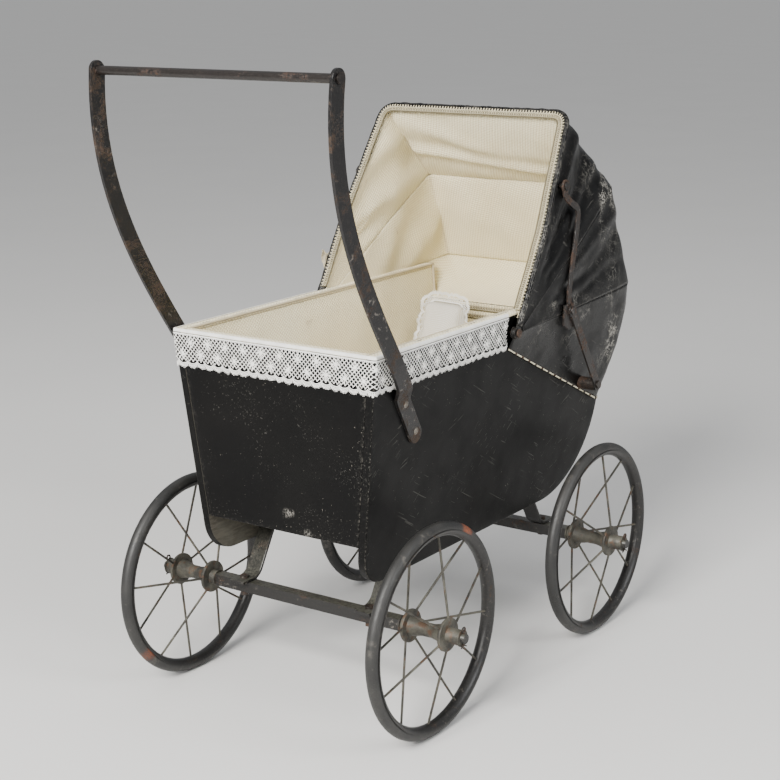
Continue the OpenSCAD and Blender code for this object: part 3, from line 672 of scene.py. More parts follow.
def net_faces(ring, inner, start):
    """Triangles over a ring and the points inside it, where the ring's own points are numbered from start."""
    count = len(ring)
    _, _, triangles, origins = delaunay_2d_cdt(
        [Vector(p) for p in np.concatenate([ring, inner])],
        [(i, (i + 1) % count) for i in range(count)], [], 1, 1e-5)[:4]
    faces = []
    for triangle in triangles:
        ids = []
        for v in triangle:
            source = [o for o in origins[v] if o < count + len(inner)]
            ids.append(start + source[0] if source else start)
        if len(set(ids)) == 3:
            faces.append(tuple(ids))
    return faces


def covering(name, node, toward, material, slot, roll, wrap, grow, lift, relief, worn=1.0):
    """Cloth stretched over a board: flat on its face, rolled over its edges and turned in."""
    cell, least_share = 5.0, 0.31
    face = face_of(node, toward)
    ring = outline(face["loop"], cell)
    m = inward(ring)
    count = len(ring)
    rings = [ring - m * grow] * 3
    heights, wear, worn_edge = [-wrap, -0.5 * wrap - roll, -roll - 0.3], [0.06] * 3, (0.5, 1.0, 0.7, 0.25)
    for k, worn_here in enumerate(worn_edge, 1):
        a = k / len(worn_edge) * math.pi / 2
        rings.append(ring - m * grow + m * roll * (1 - math.cos(a)))
        heights.append(lift - roll * (1 - math.sin(a)))
        wear.append(worn_here)
    inner, gap = filling(rings[-1], cell)
    base = len(rings) * count
    flat_points = np.concatenate(rings + [inner])
    height = np.concatenate([np.repeat(heights, count), np.full(len(inner), lift)])
    edge = np.concatenate([np.repeat(wear, count), 0.25 * np.exp(-gap / 1.4)])
    world = face["o"] + flat_points[:, :1] * face["u"] + flat_points[:, 1:] * face["v"]
    height[base:] += relief(world[base:], gap)
    world = world + height[:, None] * face["n"]
    faces = ring_faces(len(rings), count) + net_faces(rings[-1], inner, base - count)
    size = np.ptp(face["loop"], axis=0) + 2 * (wrap + grow)
    flat = (float(size[0]) / 1000, float(size[1]) / 1000)
    length = np.sum(np.linalg.norm(ring - np.roll(ring, 1, axis=0), axis=1))
    area = min((face["area"] + length * wrap) * 1e-6, flat[0] * flat[1])
    board = node.replace("cover", "board").replace("lining", "board")
    area = max(area, least_share * flat[0] * flat[1])
    sheet = dict(flat=flat, held="stretched", rests_on=[board], area=area)
    piece(name, (world, faces, flat_points), material, slot, "carriage", {"wear": edge * worn},
          replaces=[node], sheet=sheet)


def board_relief(world, depth):
    return 0.22 * rough(world, 46, 3.1) + 0.07 * rough(world, 9, 8.2)


def lining_relief(world, depth):
    puff = 1.3 * smooth_step(depth, 0, 16)
    return puff + 0.8 * rough(world, 38, 5.7) * smooth_step(depth, 0, 20) - 0.5


OUTSIDE = dict(material="boards", slot="leathercloth", wrap=7.7, lift=0.12, relief=board_relief)
INSIDE = dict(material="lining", slot="cotton_pique", roll=1.1, wrap=2.3, grow=0.0, lift=0.0,
              relief=lining_relief, worn=0.4)
ENDS = (("foot", -1), ("head", 1))
for side, sign in SIDES:
    covering(f"side_skin_{side}", f"side_cover_{side}", (sign, 0, 0), roll=1.1, grow=0.35, **OUTSIDE)
    covering(f"side_cotton_{side}", f"side_lining_{side}", (-sign, 0, 0), **INSIDE)
for end, sign in ENDS:
    covering(f"{end}_skin", f"{end}_cover", (0, sign, 0), roll=1.0, grow=0.04, **OUTSIDE)
for end, sign in ENDS:
    covering(f"{end}_cotton", f"{end}_lining", (0, -sign, 0), **INSIDE)


# The hood

# How many points a half bow has on its leg, round its corner and along its top, and how many rows a fan has.
COUNTS = (46, 9, 24)
FAN_ROWS = 37
CLOTH = 0.8


def cornered(line, toward, corner, radius, counts):
    """A line that meets a corner from towards a point, rounds it and runs level to x = 0."""
    a, b = corner + unit(toward - corner) * radius, corner + np.array([-radius, 0])
    bend = spread([*line, a], counts[0])[:-1] + bent(a, corner, b, counts[1])[:-1]
    return bend + spread([b, np.array([0, corner[1]])], counts[2])


def half_bow(bow, inset, start, counts, ease=None):
    """The right half of a bow's line as (x, radius), from its leg to the middle of its top."""
    _, leg, half, radius = bow
    bend = np.array([HOOD_X - inset, leg])
    line = [np.array([HOOD_X - inset, start])] + ([bend] if start < leg - 0.5 else [])
    return cornered(line, bend, np.array([half - inset, radius - inset]), ease or CORNER - inset, counts)


def at_bow(angle, flat, aside=0.0):
    """Points of a bow's plane, (x, radius), in space; aside is towards the foot of the pram."""
    flat = np.asarray(flat, float)
    a = math.radians(angle)
    y = PIVOT[0] + flat[:, 1] * math.cos(a) - aside * math.sin(a)
    z = PIVOT[1] + flat[:, 1] * math.sin(a) + aside * math.cos(a)
    return np.column_stack([flat[:, 0], y, z])


def bow_line(bow, inset, start, aside=0.0, counts=COUNTS, ease=None):
    return at_bow(bow[0], mirrored(half_bow(bow, inset, start, counts, ease)), aside)


def ruled(a, b, rows):
    """Straight lines from each point of one line to the other's, as a grid, and how far down each row is."""
    t = np.linspace(0, 1, rows)[:, None]
    return a[None] * (1 - t[..., None]) + b[None] * t[..., None], t


def side_share(p):
    """1 on the hood's two sides and 0 on its roof."""
    return smooth_step(np.abs(p[..., 0]), 96, 113)


def radius_of(p):
    return np.hypot(p[..., 1] - PIVOT[0], p[..., 2] - PIVOT[1])


def cover_relief(p, t):
    """The front cover: a ridge and two hollows fanned out on each side, crumpled, with a slack roof."""
    r = radius_of(p)
    held = held_at_ends(t, 0.7)
    side = side_share(p)
    fold = 3.4 * bell(t - 0.24 - 0.04 * np.sin(r / 37), 0.07) * smooth_step(r, 105, 150)
    fold = fold - 4.2 * bell(t - 0.46 + 0.06 * np.sin(r / 29), 0.11) * smooth_step(r, 50, 120)
    fold = fold - 2.2 * bell(t - 0.74 + 0.05 * np.sin(r / 23), 0.07) * smooth_step(r, 60, 130)
    crumple = 1.7 * rough(p, 34, 2.2, 3) + 0.7 * rough(p, 9, 6.1)
    sag = -2.2 * held * (1 - side)
    return held * (side * fold + crumple * smooth_step(r, 30, 90)) + sag - 0.5 * held


def calm_relief(p, t):
    return 0.5 * cover_relief(p, t)


def within_cover(p, t, move, cover):
    """Keeps the lining's own folds clear of the cover outside it, and calms them towards the pivot."""
    return np.minimum(move * smooth_step(radius_of(p), 50, 110), cover(p, t) + 3.9)


def roof_folds(p, t):
    """The front lining: diagonal folds on the sides, a slack roof with a swag, and a crease near the bow."""
    r = radius_of(p)
    x = p[..., 0]
    side = side_share(p)
    held = held_at_ends(t, 0.6)
    slant = (r - 90 - 150 * t) / 17
    strength = 1.5 * np.where(x < 0, 1.0, 0.6) * smooth_step(r, 70, 130)
    folds = strength * np.sin(slant + 1.3 * rough(p, 60, 4.4))
    along = np.abs(t - 0.72 - 0.0016 * (x - 20))
    crease = -3.2 * bell(along, 0.05) + 1.6 * bell(along - 0.13, 0.07)
    sweep = (t - 0.12) - 0.55 * smooth_step(x, -105, 60)
    swag = -5.0 * bell(sweep, 0.13) * smooth_step(-x, -70, 60)
    move = side * (folds * 2.6 - 2.0) + 1.5 * (1.9 * rough(p, 48, 1.7, 2)) + (1 - side) * (crease + swag)
    return within_cover(p, t, held * move - 6.5 * held * (1 - side), cover_relief)


def back_folds(p, t):
    """The lining behind the middle bow: folds that fan out on the sides and run down the back."""
    r = radius_of(p)
    side = side_share(p)
    held = held_at_ends(t, 0.6)
    folds = 1.4 * np.sin((r - 60 + 120 * t) / 19) * smooth_step(r, 90, 150)
    rays = np.sin(p[..., 0] / 9 + 2.2 * rough(p, 70, 8.8)) * smooth_step(t, 0.1, 0.6) * (1 - side)
    move = side * (2.4 * folds - 2.0) + 2.6 * rough(p, 44, 6.2, 2) + 1.4 * rays
    return within_cover(p, t, held * move - 4.0 * held * (1 - side), calm_relief)


def crazing_and_highlight_at(p):
    """How cracked the cover is at each point: most at the middle bow's corners and low at the back, where the
    pale crazing also stands in as painted highlight.
    """
    knee = at_bow(MIDDLE[0], [(MIDDLE[2], MIDDLE[3] - 8)])[0]
    tail = np.array([112.0, 392.0, 300.0])
    q = p.copy()
    q[..., 0] = np.abs(q[..., 0])
    near = 1.2 * bell(np.linalg.norm(q - knee, axis=-1), 36)
    low = bell(np.linalg.norm(q - tail, axis=-1), 30)
    patch = 0.2 * smooth_step(rough(p, 30, 9.3, 3), 0.15, 0.5)
    return np.clip(near + low + patch, 0, 1.3)


def fan_piece(name, node, bodies, a, b, inset, starts, relief, flat, area, lining=False):
    """Cloth between two bows, moved along its normal by a relief."""
    ease = CREASE if lining else None
    p, t = ruled(bow_line(a, inset, starts[0], ease=ease), bow_line(b, inset, starts[1], ease=ease), FAN_ROWS)
    t = np.broadcast_to(t, p.shape[:2])
    inside = (0, PIVOT[0] + 60, PIVOT[1] + 60)
    p = p + grid_normals(p, inside)[0] * relief(p, t)[..., None]
    if lining:
        knee = COUNTS[0] - 1 + (COUNTS[1] - 1) / 2
        columns = np.arange(p.shape[1])[None]
        seam = np.minimum(abs(columns - knee), abs(columns - p.shape[1] + 1 + knee))
        # On the lining, a thin brown line along the corner seams: painted shade of the seam's crease.
        wear, cracks = np.broadcast_to(0.9 * bell(seam, 0.8), t.shape), np.zeros(t.shape)
    else:
        wear, cracks = np.clip(0.5 * np.exp(-t / 0.03) + 0.9 * np.exp(-(1 - t) / 0.03), 0, 1), crazing_and_highlight_at(p)
    material, slot = ("roof", "cotton_pique") if lining else ("hood", "leathercloth")
    rests = [bodies[0].replace("hood_", "") + "_bow"]
    obj = piece(name, sheet_mesh(p, CLOTH, inside), material, slot, None,
                {"wear": doubled(wear), "cracks": doubled(cracks)}, replaces=[node],
                sheet=dict(flat=flat, held="stretched", rests_on=rests, area=area))
    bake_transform(obj)


FORWARD, REARWARD = ("hood_front", "hood_middle"), ("hood_middle", "carriage")
fan_piece("hood_skin_front", "hood_cover_front", FORWARD, FRONT_HEM, MIDDLE, 0.0, (9.0, 9.0), cover_relief,
          (0.69, 0.125), 0.055)
fan_piece("hood_skin_middle", "hood_cover_middle", REARWARD, MIDDLE, BACK, 0.3, (9.0, 9.0), calm_relief,
          (0.69, 0.12), 0.052)
fan_piece("hood_cotton_front", "hood_lining_front", FORWARD, FRONT, MIDDLE, 5.9, (15.0, 24.0), roof_folds,
          (0.64, 0.115), 0.05, lining=True)
fan_piece("hood_cotton_middle", "hood_lining_middle", REARWARD, MIDDLE, LINING_EDGE, 6.8, (24.0, 150.0),
          back_folds, (0.6, 0.105), 0.043, lining=True)


def side_x(z):
    """How far out the side's outer face is at a height."""
    return 95 + (z - WALL_Z) * math.tan(SPLAY)


def back_rings():
    """The cover's upper ring, along the back bow, and its lower ring, along the sides and the nose."""
    top = bow_line(BACK, 0.6, -4.0)
    front, rear = np.array([side_x(319) + 1.5, 177.0]), np.array([side_x(234) + 1.5, 361.0])
    flat = mirrored(cornered([front], rear, np.array([103.6, 383.0]), 19, COUNTS))
    z = 319 - (flat[:, 1] - 181) * 85 / 180
    return top, np.column_stack([flat, np.maximum(z, 229.5)])


def fixed_panel(name, node, p, inside, material, slot, fields, flat, area):
    """A panel of the hood that stays on the body, from its grid of points."""
    return piece(name, sheet_mesh(p, CLOTH, inside), material, slot, "carriage",
                 {field: doubled(values) for field, values in fields.items()}, replaces=[node],
                 sheet=dict(flat=flat, held="stretched", rests_on=["back_bow"], area=area))


def back_cover():
    """From the back bow round the nose to the hem, bulging, and pleated where it is tacked."""
    top, low = back_rings()
    p, t = ruled(top, low, 30)
    nose = smooth_step(top[:, 1], 385, 421)
    bulge = np.interp(t.ravel(), [0, 0.19, 0.4, 0.54, 0.81, 1], [0, 12.5, 17, 17.5, 8, 0])
    p[..., 1] += nose[None] * bulge[:, None]
    inside = (0, 300, 300)
    n, _ = grid_normals(p, inside)
    held = held_at_ends(t, 0.6)
    pleat = 0.7 * np.sin(np.arange(p.shape[1])[None] * 0.9 + 2 * rough(p, 30, 2)) * smooth_step(t, 0.5, 0.95)
    lumps = 1.1 * rough(p, 30, 7.7, 3) + 0.45 * rough(p, 7, 1.2)
    room = 0.35 + 0.65 * nose[None]
    p = p + n * (held * (lumps * room - 0.4) + pleat * 0.6 * held)[..., None]
    wear = np.broadcast_to(0.9 * np.exp(-(1 - t) / 0.04), p.shape[:2])
    fixed_panel("hood_skin_back", "hood_cover_back", p, inside, "hood", "leathercloth",
                {"wear": wear, "cracks": crazing_and_highlight_at(p)}, (0.69, 0.135), 0.062)
    return low


def back_lining():
    """From the back bow, curving down to the head board's top."""
    top = bow_line(LINING_EDGE, 6.2, 190.0, ease=CREASE)
    reach = reach_of(top)
    share = 1 - 2 * reach / reach[-1]
    flat = np.ones(len(top))
    middle = np.column_stack([108 * share, 410 - 22 * share ** 6, 326.5 * flat])
    low = np.column_stack([101.5 * share, 363.6 * flat, 319.4 * flat])
    t = np.linspace(0, 1, 26)[:, None, None]
    p = (1 - t) ** 2 * top[None] + 2 * t * (1 - t) * middle[None] + t * t * low[None]
    t = t[..., 0]
    inside = (0, 360, 380)
    n, _ = grid_normals(p, inside)
    p = p + n * (held_at_ends(t, 0.7) * (0.9 * rough(p, 30, 4.2) - 0.3))[..., None]
    wear = np.broadcast_to(0.3 * np.exp(-(1 - t) / 0.1), p.shape[:2])
    fixed_panel("hood_cotton_back", "hood_lining_back", p, inside, "roof", "cotton_pique", {"wear": wear},
                (0.3, 0.085), 0.02)


hem_line = back_cover()
back_lining()


def swept(name, path, radius, sides, lumps, material, slot, body, **fields):
    """A lumpy round cord along a path; each field is the same all over."""
    path = np.asarray(path, float)
    points, faces = tube(path, radius * (1 + lumps * rough(path, 6, 3.3, 2)), sides)
    fields = {field: np.full(len(points), value) for field, value in fields.items()}
    piece(name, (points, faces), material, slot, body, fields)


def piping(name, path, radius, sides=8, lumps=0.25, tone=0.6):
    swept(name, path, radius, sides, lumps, "piping", "gimp_braid", "carriage", tone=tone)


# The leathercloth is rolled round the front bow, and the hood's lower edge is piped and tacked.
mouth = bow_line(FRONT, 1.2, 7.0, 1.6, (80, 14, 50))
mouth[:, 2] += 0.35 * rough(mouth, 9, 5.5)
swept("hood_mouth_roll", mouth, 3.1, 12, 0.12, "hood", "leathercloth", "hood_front", wear=0.75, cracks=0.25)
hem = hem_line.copy()
hem[:, :2] += unit(hem[:, :2] - np.array([0, 300])) * 0.9
hem = np.array(spread(hem, 260))
piping("hood_hem_piping", hem, 0.75, tone=0.0)


def tacks():
    heap = Heap()
    for at in spread(hem, 44)[1:-1]:
        out = unit([at[0], max(at[1] - 330, -20), 0.0])
        heap.add(*tube([at + out * 0.6, at + out * 1.5, at + out * 1.9], [1.5, 1.3, 0.5]))
    piece("hem_tacks", heap.all()[:2], "bolt", "rusty_steel", "carriage")


tacks()


# Lace along the body's top edges


def rim_frames():
    """The body's top edge from the hood round the foot to the hood: its reach, its line, and down and out."""
    low_z, hood_end, radius, counts = 315.0, 172.0, 1.8, (140, 10, 84)
    lines = []
    for z in (TOP_Z, low_z):
        drop = TOP_Z - z
        half, foot = TOP_HALF - drop * math.tan(SPLAY), FOOT_Y + drop * math.tan(FOOT_LEAN)
        start = np.array([half, hood_end])
        plan = mirrored(cornered([start], start, np.array([half, foot]), radius, counts))
        lines.append(np.column_stack([plan, np.full(len(plan), z)]))
    top, low = lines
    down = unit(low - top)
    out = unit(np.cross(down, unit(np.gradient(top, axis=0))))
    if np.sum(out * (top - np.array([0, 60, TOP_Z]))) < 0:
        out = -out
    return reach_of(top), top, down, out


RIM_REACH, *RIM = rim_frames()


def on_rim(points):
    """Pattern points (u along, v down, h out) laid on the outer faces under the top edge, slightly waved."""
    u, v, h = points.T
    top, down, out = read_off(RIM, RIM_REACH, u)
    wave = 0.55 * np.sin(u / 11.3) + 0.4 * np.sin(u / 4.9 + 1.1) + 0.3 * np.sin(u / 2.3 + v / 5)
    lift = 0.95 + smooth_step(v, 4, 34) * (0.9 + wave)
    return top + down * v[:, None] + out * (h + lift)[:, None]


def shake(amount=0.13):
    return dice.uniform(-amount, amount)


def lace_net(heap, length, low, net, fine):
    """Threads that cross both ways, between the tape and the edging."""
    top = 2.2
    step = net * math.sqrt(2)
    extra = int(math.ceil(low / step))
    pieces = max(2, int(round(low / (step / 2))))
    for lean in (1, -1):
        for k in range(-extra - 1, int(math.ceil(length / step)) + extra + 2):
            start = k * step + (0 if lean > 0 else low)
            line = []
            for j in range(pieces + 1):
                v = top + (low - top) * j / pieces
                u = start + lean * v
                if -0.2 <= u <= length + 0.2:
                    line.append((u + shake(), v + shake()))
            if len(line) > 1:
                heap.strand(line, (0.66 + shake(0.1)) * fine, 0.34 * fine, 0.1 * lean)


def spider(heap, u0, v0):
    """A knot with eight legs of two lengths, and four small knots round it."""
    for j in range(8):
        a = j * math.pi / 4
        far, wide = (4.4, 1.0) if j % 2 else (3.5, 0.75)
        tip = (u0 + far * math.cos(a) + shake(), v0 + far * math.sin(a) + shake())
        heap.strand([(u0, v0), ((u0 + tip[0]) / 2, (v0 + tip[1]) / 2), tip], wide, 0.4, 0.15)
    heap.boss((u0, v0), 1.7, 0.42, 8, 0.15, turn=0.39)
    for su, sv in ((1, 0), (-1, 0), (0, 1), (0, -1)):
        heap.boss((u0 + 4.1 * su, v0 + 4.1 * sv), 1.0, 0.34, 6, 0.12)


def lace_edging(heap, length, drop, repeats, fine):
    """Three cords in scallops, stitched together, with picots hanging from the lowest."""
    u = np.linspace(0, length, repeats * 14 + 1)
    arch = np.abs(np.sin(np.pi * u / (length / repeats))) ** 0.6
    for offset, wide in ((0.0, 0.6), (-1.3, 0.5), (-2.9, 0.75)):
        v = drop + (2.6 * arch + offset - 4.0) * fine
        heap.strand(np.column_stack([u, v]), wide * fine, 0.42 * fine, 0.1)
    for k, (at, high) in enumerate(zip(u[:-1], arch)):
        a = drop + (2.6 * high - 4.0) * fine
        stitch = [(at, a - 3.1 * fine), (at + 0.4, a - 1.4 * fine), (at + shake(), a - 0.1)]
        heap.strand(stitch, 0.42 * fine, 0.3 * fine, 0.0)
        if k % 2:
            tip = a + (1.5 + shake(0.5)) * fine
            heap.strand([(at + shake(), a), (at + shake(0.2), tip)], 0.6 * fine, 0.3 * fine, 0.1)


def lace_pattern(length, drop, pitch, net, fine=1.0, spiders=False):
    """Bobbin lace in its own plane: a net, spiders in two rows, a scalloped edge and a top cord."""
    heap = Heap()
    repeats = max(2, round(length / pitch))
    pitch = length / repeats
    low = drop - 6.5 * fine
    lace_net(heap, length, low, net, fine)
    for r in range(2 if spiders else 0):
        for k in range(repeats // 2 + 1):
            u0 = (k + 0.5 * r) * 2 * pitch + pitch * 0.5
            if 4 < u0 < length - 4:
                spider(heap, u0, 3.2 + (low - 3) * (0.27 + 0.45 * r))
    lace_edging(heap, length, drop, repeats, fine)
    heap.strand([(u, 2.6) for u in np.linspace(0, length, repeats * 14 + 1)], 1.3, 0.5, 0.0)
    return heap


def rim_tape(length):
    """The tape that holds the lace, folded over the edge."""
    u = np.linspace(0.5, length - 0.5, 360)
    rows = []
    for h, v in ((0.0, 1.2), (0.15, 0.6), (0.0, -0.1), (-0.5, -1.1), (-1.2, -1.6), (-1.9, -1.75)):
        ripple = 0.12 * np.sin(u / 3.1 + v) + 0.08 * np.sin(u / 1.7)
        rows.append(on_rim(np.column_stack([u, np.full(len(u), v), h + ripple])))
    return sheet_mesh(np.array(rows), 0.45, (0, 60, 300))[:2]


def threadwork(name, points, heap, material, slot, body="carriage", **declared):
    """A piece of lace or braid: a heap's threads with their points moved into place."""
    _, faces, tone = heap.all()
    return piece(name, (points, faces), material, slot, body, {"tone": tone}, smooth=False, **declared)


def rim_lace():
    length = float(RIM_REACH[-1])
    lace = lace_pattern(length, 34.0, 10.5, 3.15, spiders=True)
    placed = Heap()
    points, faces, tone = lace.all()
    placed.add(on_rim(points), faces, tone)
    placed.add(*rim_tape(length), 0.08)
    threadwork("lace_edging", placed.all()[0], placed, "lace", "white_lace", replaces=["lace_trim"],
               sheet=dict(flat=(length / 1000, 0.039), held="hung",
                          rests_on=["side_skin_left", "side_skin_right", "foot_skin"]))


rim_lace()


# Cotton bindings over the walls' top edges, with a thin brown line of thread


def binding(name, start, end, out):
    """A strip of cotton folded over a wall from the outer face to the lining; gives its inner edge's line."""
    start, end, out = (np.asarray(v, float) for v in (start, end, out))
    path = np.array(spread([start, end], 110))
    up = np.array([0, 0, 1.0])
    section = [(0.25, -1.6), (0.4, -0.8), (0.15, 0.3), (-0.9, 0.85), (-WALL * 0.5, 1.15), (-WALL + 1.4, 1.15),
               (-WALL - 0.4, 0.6), (-WALL - 0.9, -0.8), (-WALL - 0.7, -3.2)]
    # Darker where the strip turns down over the edges, most just under the inner piping.
    turned_edge_darkening = [0.2, 0.1, 0, 0, 0, 0.1, 0.35, 0.5, 0.3]
    rows = []
    for h, v in section:
        lift = 0.25 * rough(path + np.array([h, 0, 0]), 13, 2.9)
        rows.append(path + out * h + up * (v + lift)[:, None])
    centre = (start + end) / 2 - out * WALL / 2 - up * 4
    piece(name, sheet_mesh(np.array(rows), 0.5, centre), "lining", "cotton_pique", "carriage",
          {"wear": np.tile(np.repeat(turned_edge_darkening, len(path)), 2)},
          sheet=dict(flat=(float(np.linalg.norm(end - start)) / 1000, 0.019), held="folded", rests_on=[]))
    return path - out * (WALL + 0.55) + up * 0.35


def top_bindings():
    head_end, inner_corner = 371.5, TOP_HALF - 9.8
    for side, sign in SIDES:
        line = binding(f"top_binding_{side}", (sign * TOP_HALF, FOOT_Y + 0.5, TOP_Z),
                       (sign * TOP_HALF, head_end, TOP_Z), (sign * math.cos(SPLAY), 0, 0))
        piping(f"top_piping_{side}", line, 1.35)
    line = binding("top_binding_foot", (-inner_corner, FOOT_Y, TOP_Z - 0.25),
                   (inner_corner, FOOT_Y, TOP_Z - 0.25), (0, -1, 0))
    piping("top_piping_foot", line, 0.7, 6, 0.2, 0.3)


def head_corner_piping():
    """Piping down each side's front end, from the top edge to the braid on the head panel."""
    for side, sign in SIDES:
        top = np.array([sign * (TOP_HALF - 11.2), 370.6, TOP_Z - 0.4])
        low = np.array([sign * (side_x(322) - 11.4), 369.0, 320.0])
        piping(f"corner_piping_{side}", spread([top, low], 30), 1.35)


top_bindings()
head_corner_piping()


def torn_cloth():
    """A frayed scrap of the backing cloth, hanging at the left end of the hood's mouth."""
    v, u = np.meshgrid(np.linspace(0, 1, 26), np.linspace(0, 1, 16), indexing="ij")
    ragged = 1 + 0.35 * rough(np.stack([u * 0 + 3, v * 26, u * 0], axis=2), 3, 1.5, 3)
    wide = 11 * (1 - 0.55 * v ** 2) * ragged
    x = -HOOD_X - 2.2 - 1.6 * np.sin(v * 7) - 1.2 * np.sin(u * 5 + v * 4)
    y = 201 + (u - 0.5) * wide + 6 * v
    z = 392 - 31 * v + 2.2 * np.sin(u * 6)
    p = np.stack([x, y, z], axis=2)
    p = p + 0.6 * rough(p, 5, 7.3)[..., None]
    piece("torn_backing", sheet_mesh(p, 0.4, (0, 220, 380)), "piping", "cotton_pique", "hood_front",
          {"tone": np.full(2 * u.size, 0.45)},
          sheet=dict(flat=(0.0115, 0.032), held="hung", rests_on=["hood_mouth_roll"]))


torn_cloth()


# Gimp braid: a row of looped thread, chevrons between two cords, and a dark line inside


def gimp(length):
    heap = Heap()
    loops = int(round(length / 3.3))
    u = np.linspace(0, length, loops * 9 + 1)
    turn = 2 * math.pi * u / (length / loops)
    heap.strand(np.column_stack([u - 1.0 * np.sin(turn), 1.2 - 1.25 * np.cos(turn)]), 0.8, 0.8, 0.55)
    flat = np.linspace(0, length, loops * 3 + 1)
    for v, wide, tone in ((2.7, 0.7, 0.5), (6.0, 0.7, 0.4), (7.4, 1.1, 1.0)):
        heap.strand(np.column_stack([flat, v + 0.1 * np.sin(flat * 2.1)]), wide, 0.8, 0.45, tone)
    strokes = int(round(length / 2.1))
    for k in range(strokes):
        a = (k + 0.1) * length / strokes
        tone = 0.12 + 0.2 * (k % 2)
        heap.strand([(a, 2.9), (a + 1.2, 4.35)], 0.8, 0.9, 0.55, tone)
        heap.strand([(a + 1.2, 4.35), (a, 5.8)], 0.8, 0.9, 0.55, tone)
        heap.strand([(a, 6.1), (a + 0.8, 7.1)], 0.6, 0.6, 0.35, 0.8)
    # A dark tape under the threads, lower than them: painted shade that shows in the gaps between them.
    heap.strand(np.column_stack([flat, np.full(len(flat), 4.6)]), 4.8, 0.3, 0.1, 1.0)
    return heap


def across(line, centre=None):
    """A plane line's unit normals: on the right of its way, or where there is a centre, towards it."""
    t = unit(np.gradient(line, axis=0))
    out = np.stack([t[:, 1], -t[:, 0]], axis=1)
    if centre is not None and np.sum(out * (np.array(centre) - line)) < 0:
        out = -out
    return unit(out)


def mouth_braid():
    """Laid round the hood's mouth on the front bow."""
    line = mirrored(half_bow(FRONT, 0.6, 22.0, (120, 16, 70)))
    reach = reach_of(line)
    heap = gimp(float(reach[-1]))
    u, v, h = heap.all()[0].T
    place, inner = read_off([line, across(line, (0, 110))], reach, u)
    flat = place + inner * (v + 1.4)[:, None]
    points = at_bow(FRONT[0], flat, h + 4.5 + 0.25 * np.sin(u / 9))
    threadwork("mouth_braid", points, heap, "gimp", "gimp_braid", "hood_front", replaces=["hood_braid"])


def head_braids():
    """Two rows of braid along the top of the head panel, inside."""
    top_z, length = 318.5, 194.0
    inner_y = 352 + (317 - WALL_Z) * HEAD_LEAN - WALL - 1.2
    for k, z in enumerate((top_z, 309.5), 1):
        heap = gimp(length)
        u, v, h = heap.all()[0].T
        points = np.column_stack([u - length / 2, inner_y - (top_z - z + v) * HEAD_LEAN - h, z - v])
        threadwork(f"head_braid_{k}", points, heap, "gimp", "gimp_braid")


mouth_braid()
head_braids()


# Mattress and pillow


def modifier(obj, kind, **settings):
    return configure(obj.modifiers.new(kind.lower(), kind), **settings)


def bake(obj):
    """Puts the modifiers' result into the mesh."""
    depsgraph = bpy.context.evaluated_depsgraph_get()
    old, result = obj.data, bpy.data.meshes.new_from_object(obj.evaluated_get(depsgraph), depsgraph=depsgraph)
    obj.modifiers.clear()
    obj.data = result
    bpy.data.meshes.remove(old)


def blow_up(obj, pressure=4.0, frames=20):
    """Lets a closed mesh swell as cloth under pressure for some frames."""
    cloth = modifier(obj, "CLOTH")
    configure(cloth.settings, quality=5, use_pressure=True, uniform_pressure_force=pressure,
              tension_stiffness=12, bending_stiffness=0.6)
    cloth.settings.effector_weights.gravity = 0
    configure(cloth.point_cache, frame_start=1, frame_end=frames)
    for number in range(1, frames + 1):
        bpy.context.scene.frame_set(number)
    bake(obj)
    bpy.context.scene.frame_set(1)


def padded_copy(name, node, material, shrink, most):
    """A stuffed pad grown from its CAD solid: remeshed, blown up by most metres at most, then smoothed."""
    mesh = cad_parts[node].data.copy()
    obj = add_object(name, mesh)
    solid = corners_of(mesh)
    centre = (solid.min(0) + solid.max(0)) / 2
    move_corners(mesh, centre + (solid - centre) * shrink)
    mesh.materials.clear()
    mesh.materials.append(MAT[material])
    modifier(obj, "REMESH", mode="VOXEL", voxel_size=0.0045)
    bake(obj)
    before = corners_of(obj.data)
    blow_up(obj)
    move = corners_of(obj.data) - before
    size = np.linalg.norm(move, axis=1, keepdims=True)
    place = before + move * np.minimum(1, most / np.maximum(size, 1e-9))
    place = place + 0.0006 * rough(place * 1000, 40, 5.1)[:, None] * unit(place - centre)
    move_corners(obj.data, place)
    modifier(obj, "SMOOTH", factor=0.6, iterations=4)
    modifier(obj, "SUBSURF", levels=1, render_levels=1)
    bake(obj)
    mesh = obj.data
    mesh.polygons.foreach_set("use_smooth", [True] * len(mesh.polygons))
    add_uv(mesh, corners_of(mesh)[:, :2])
    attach(obj, "carriage")
    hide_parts(node)


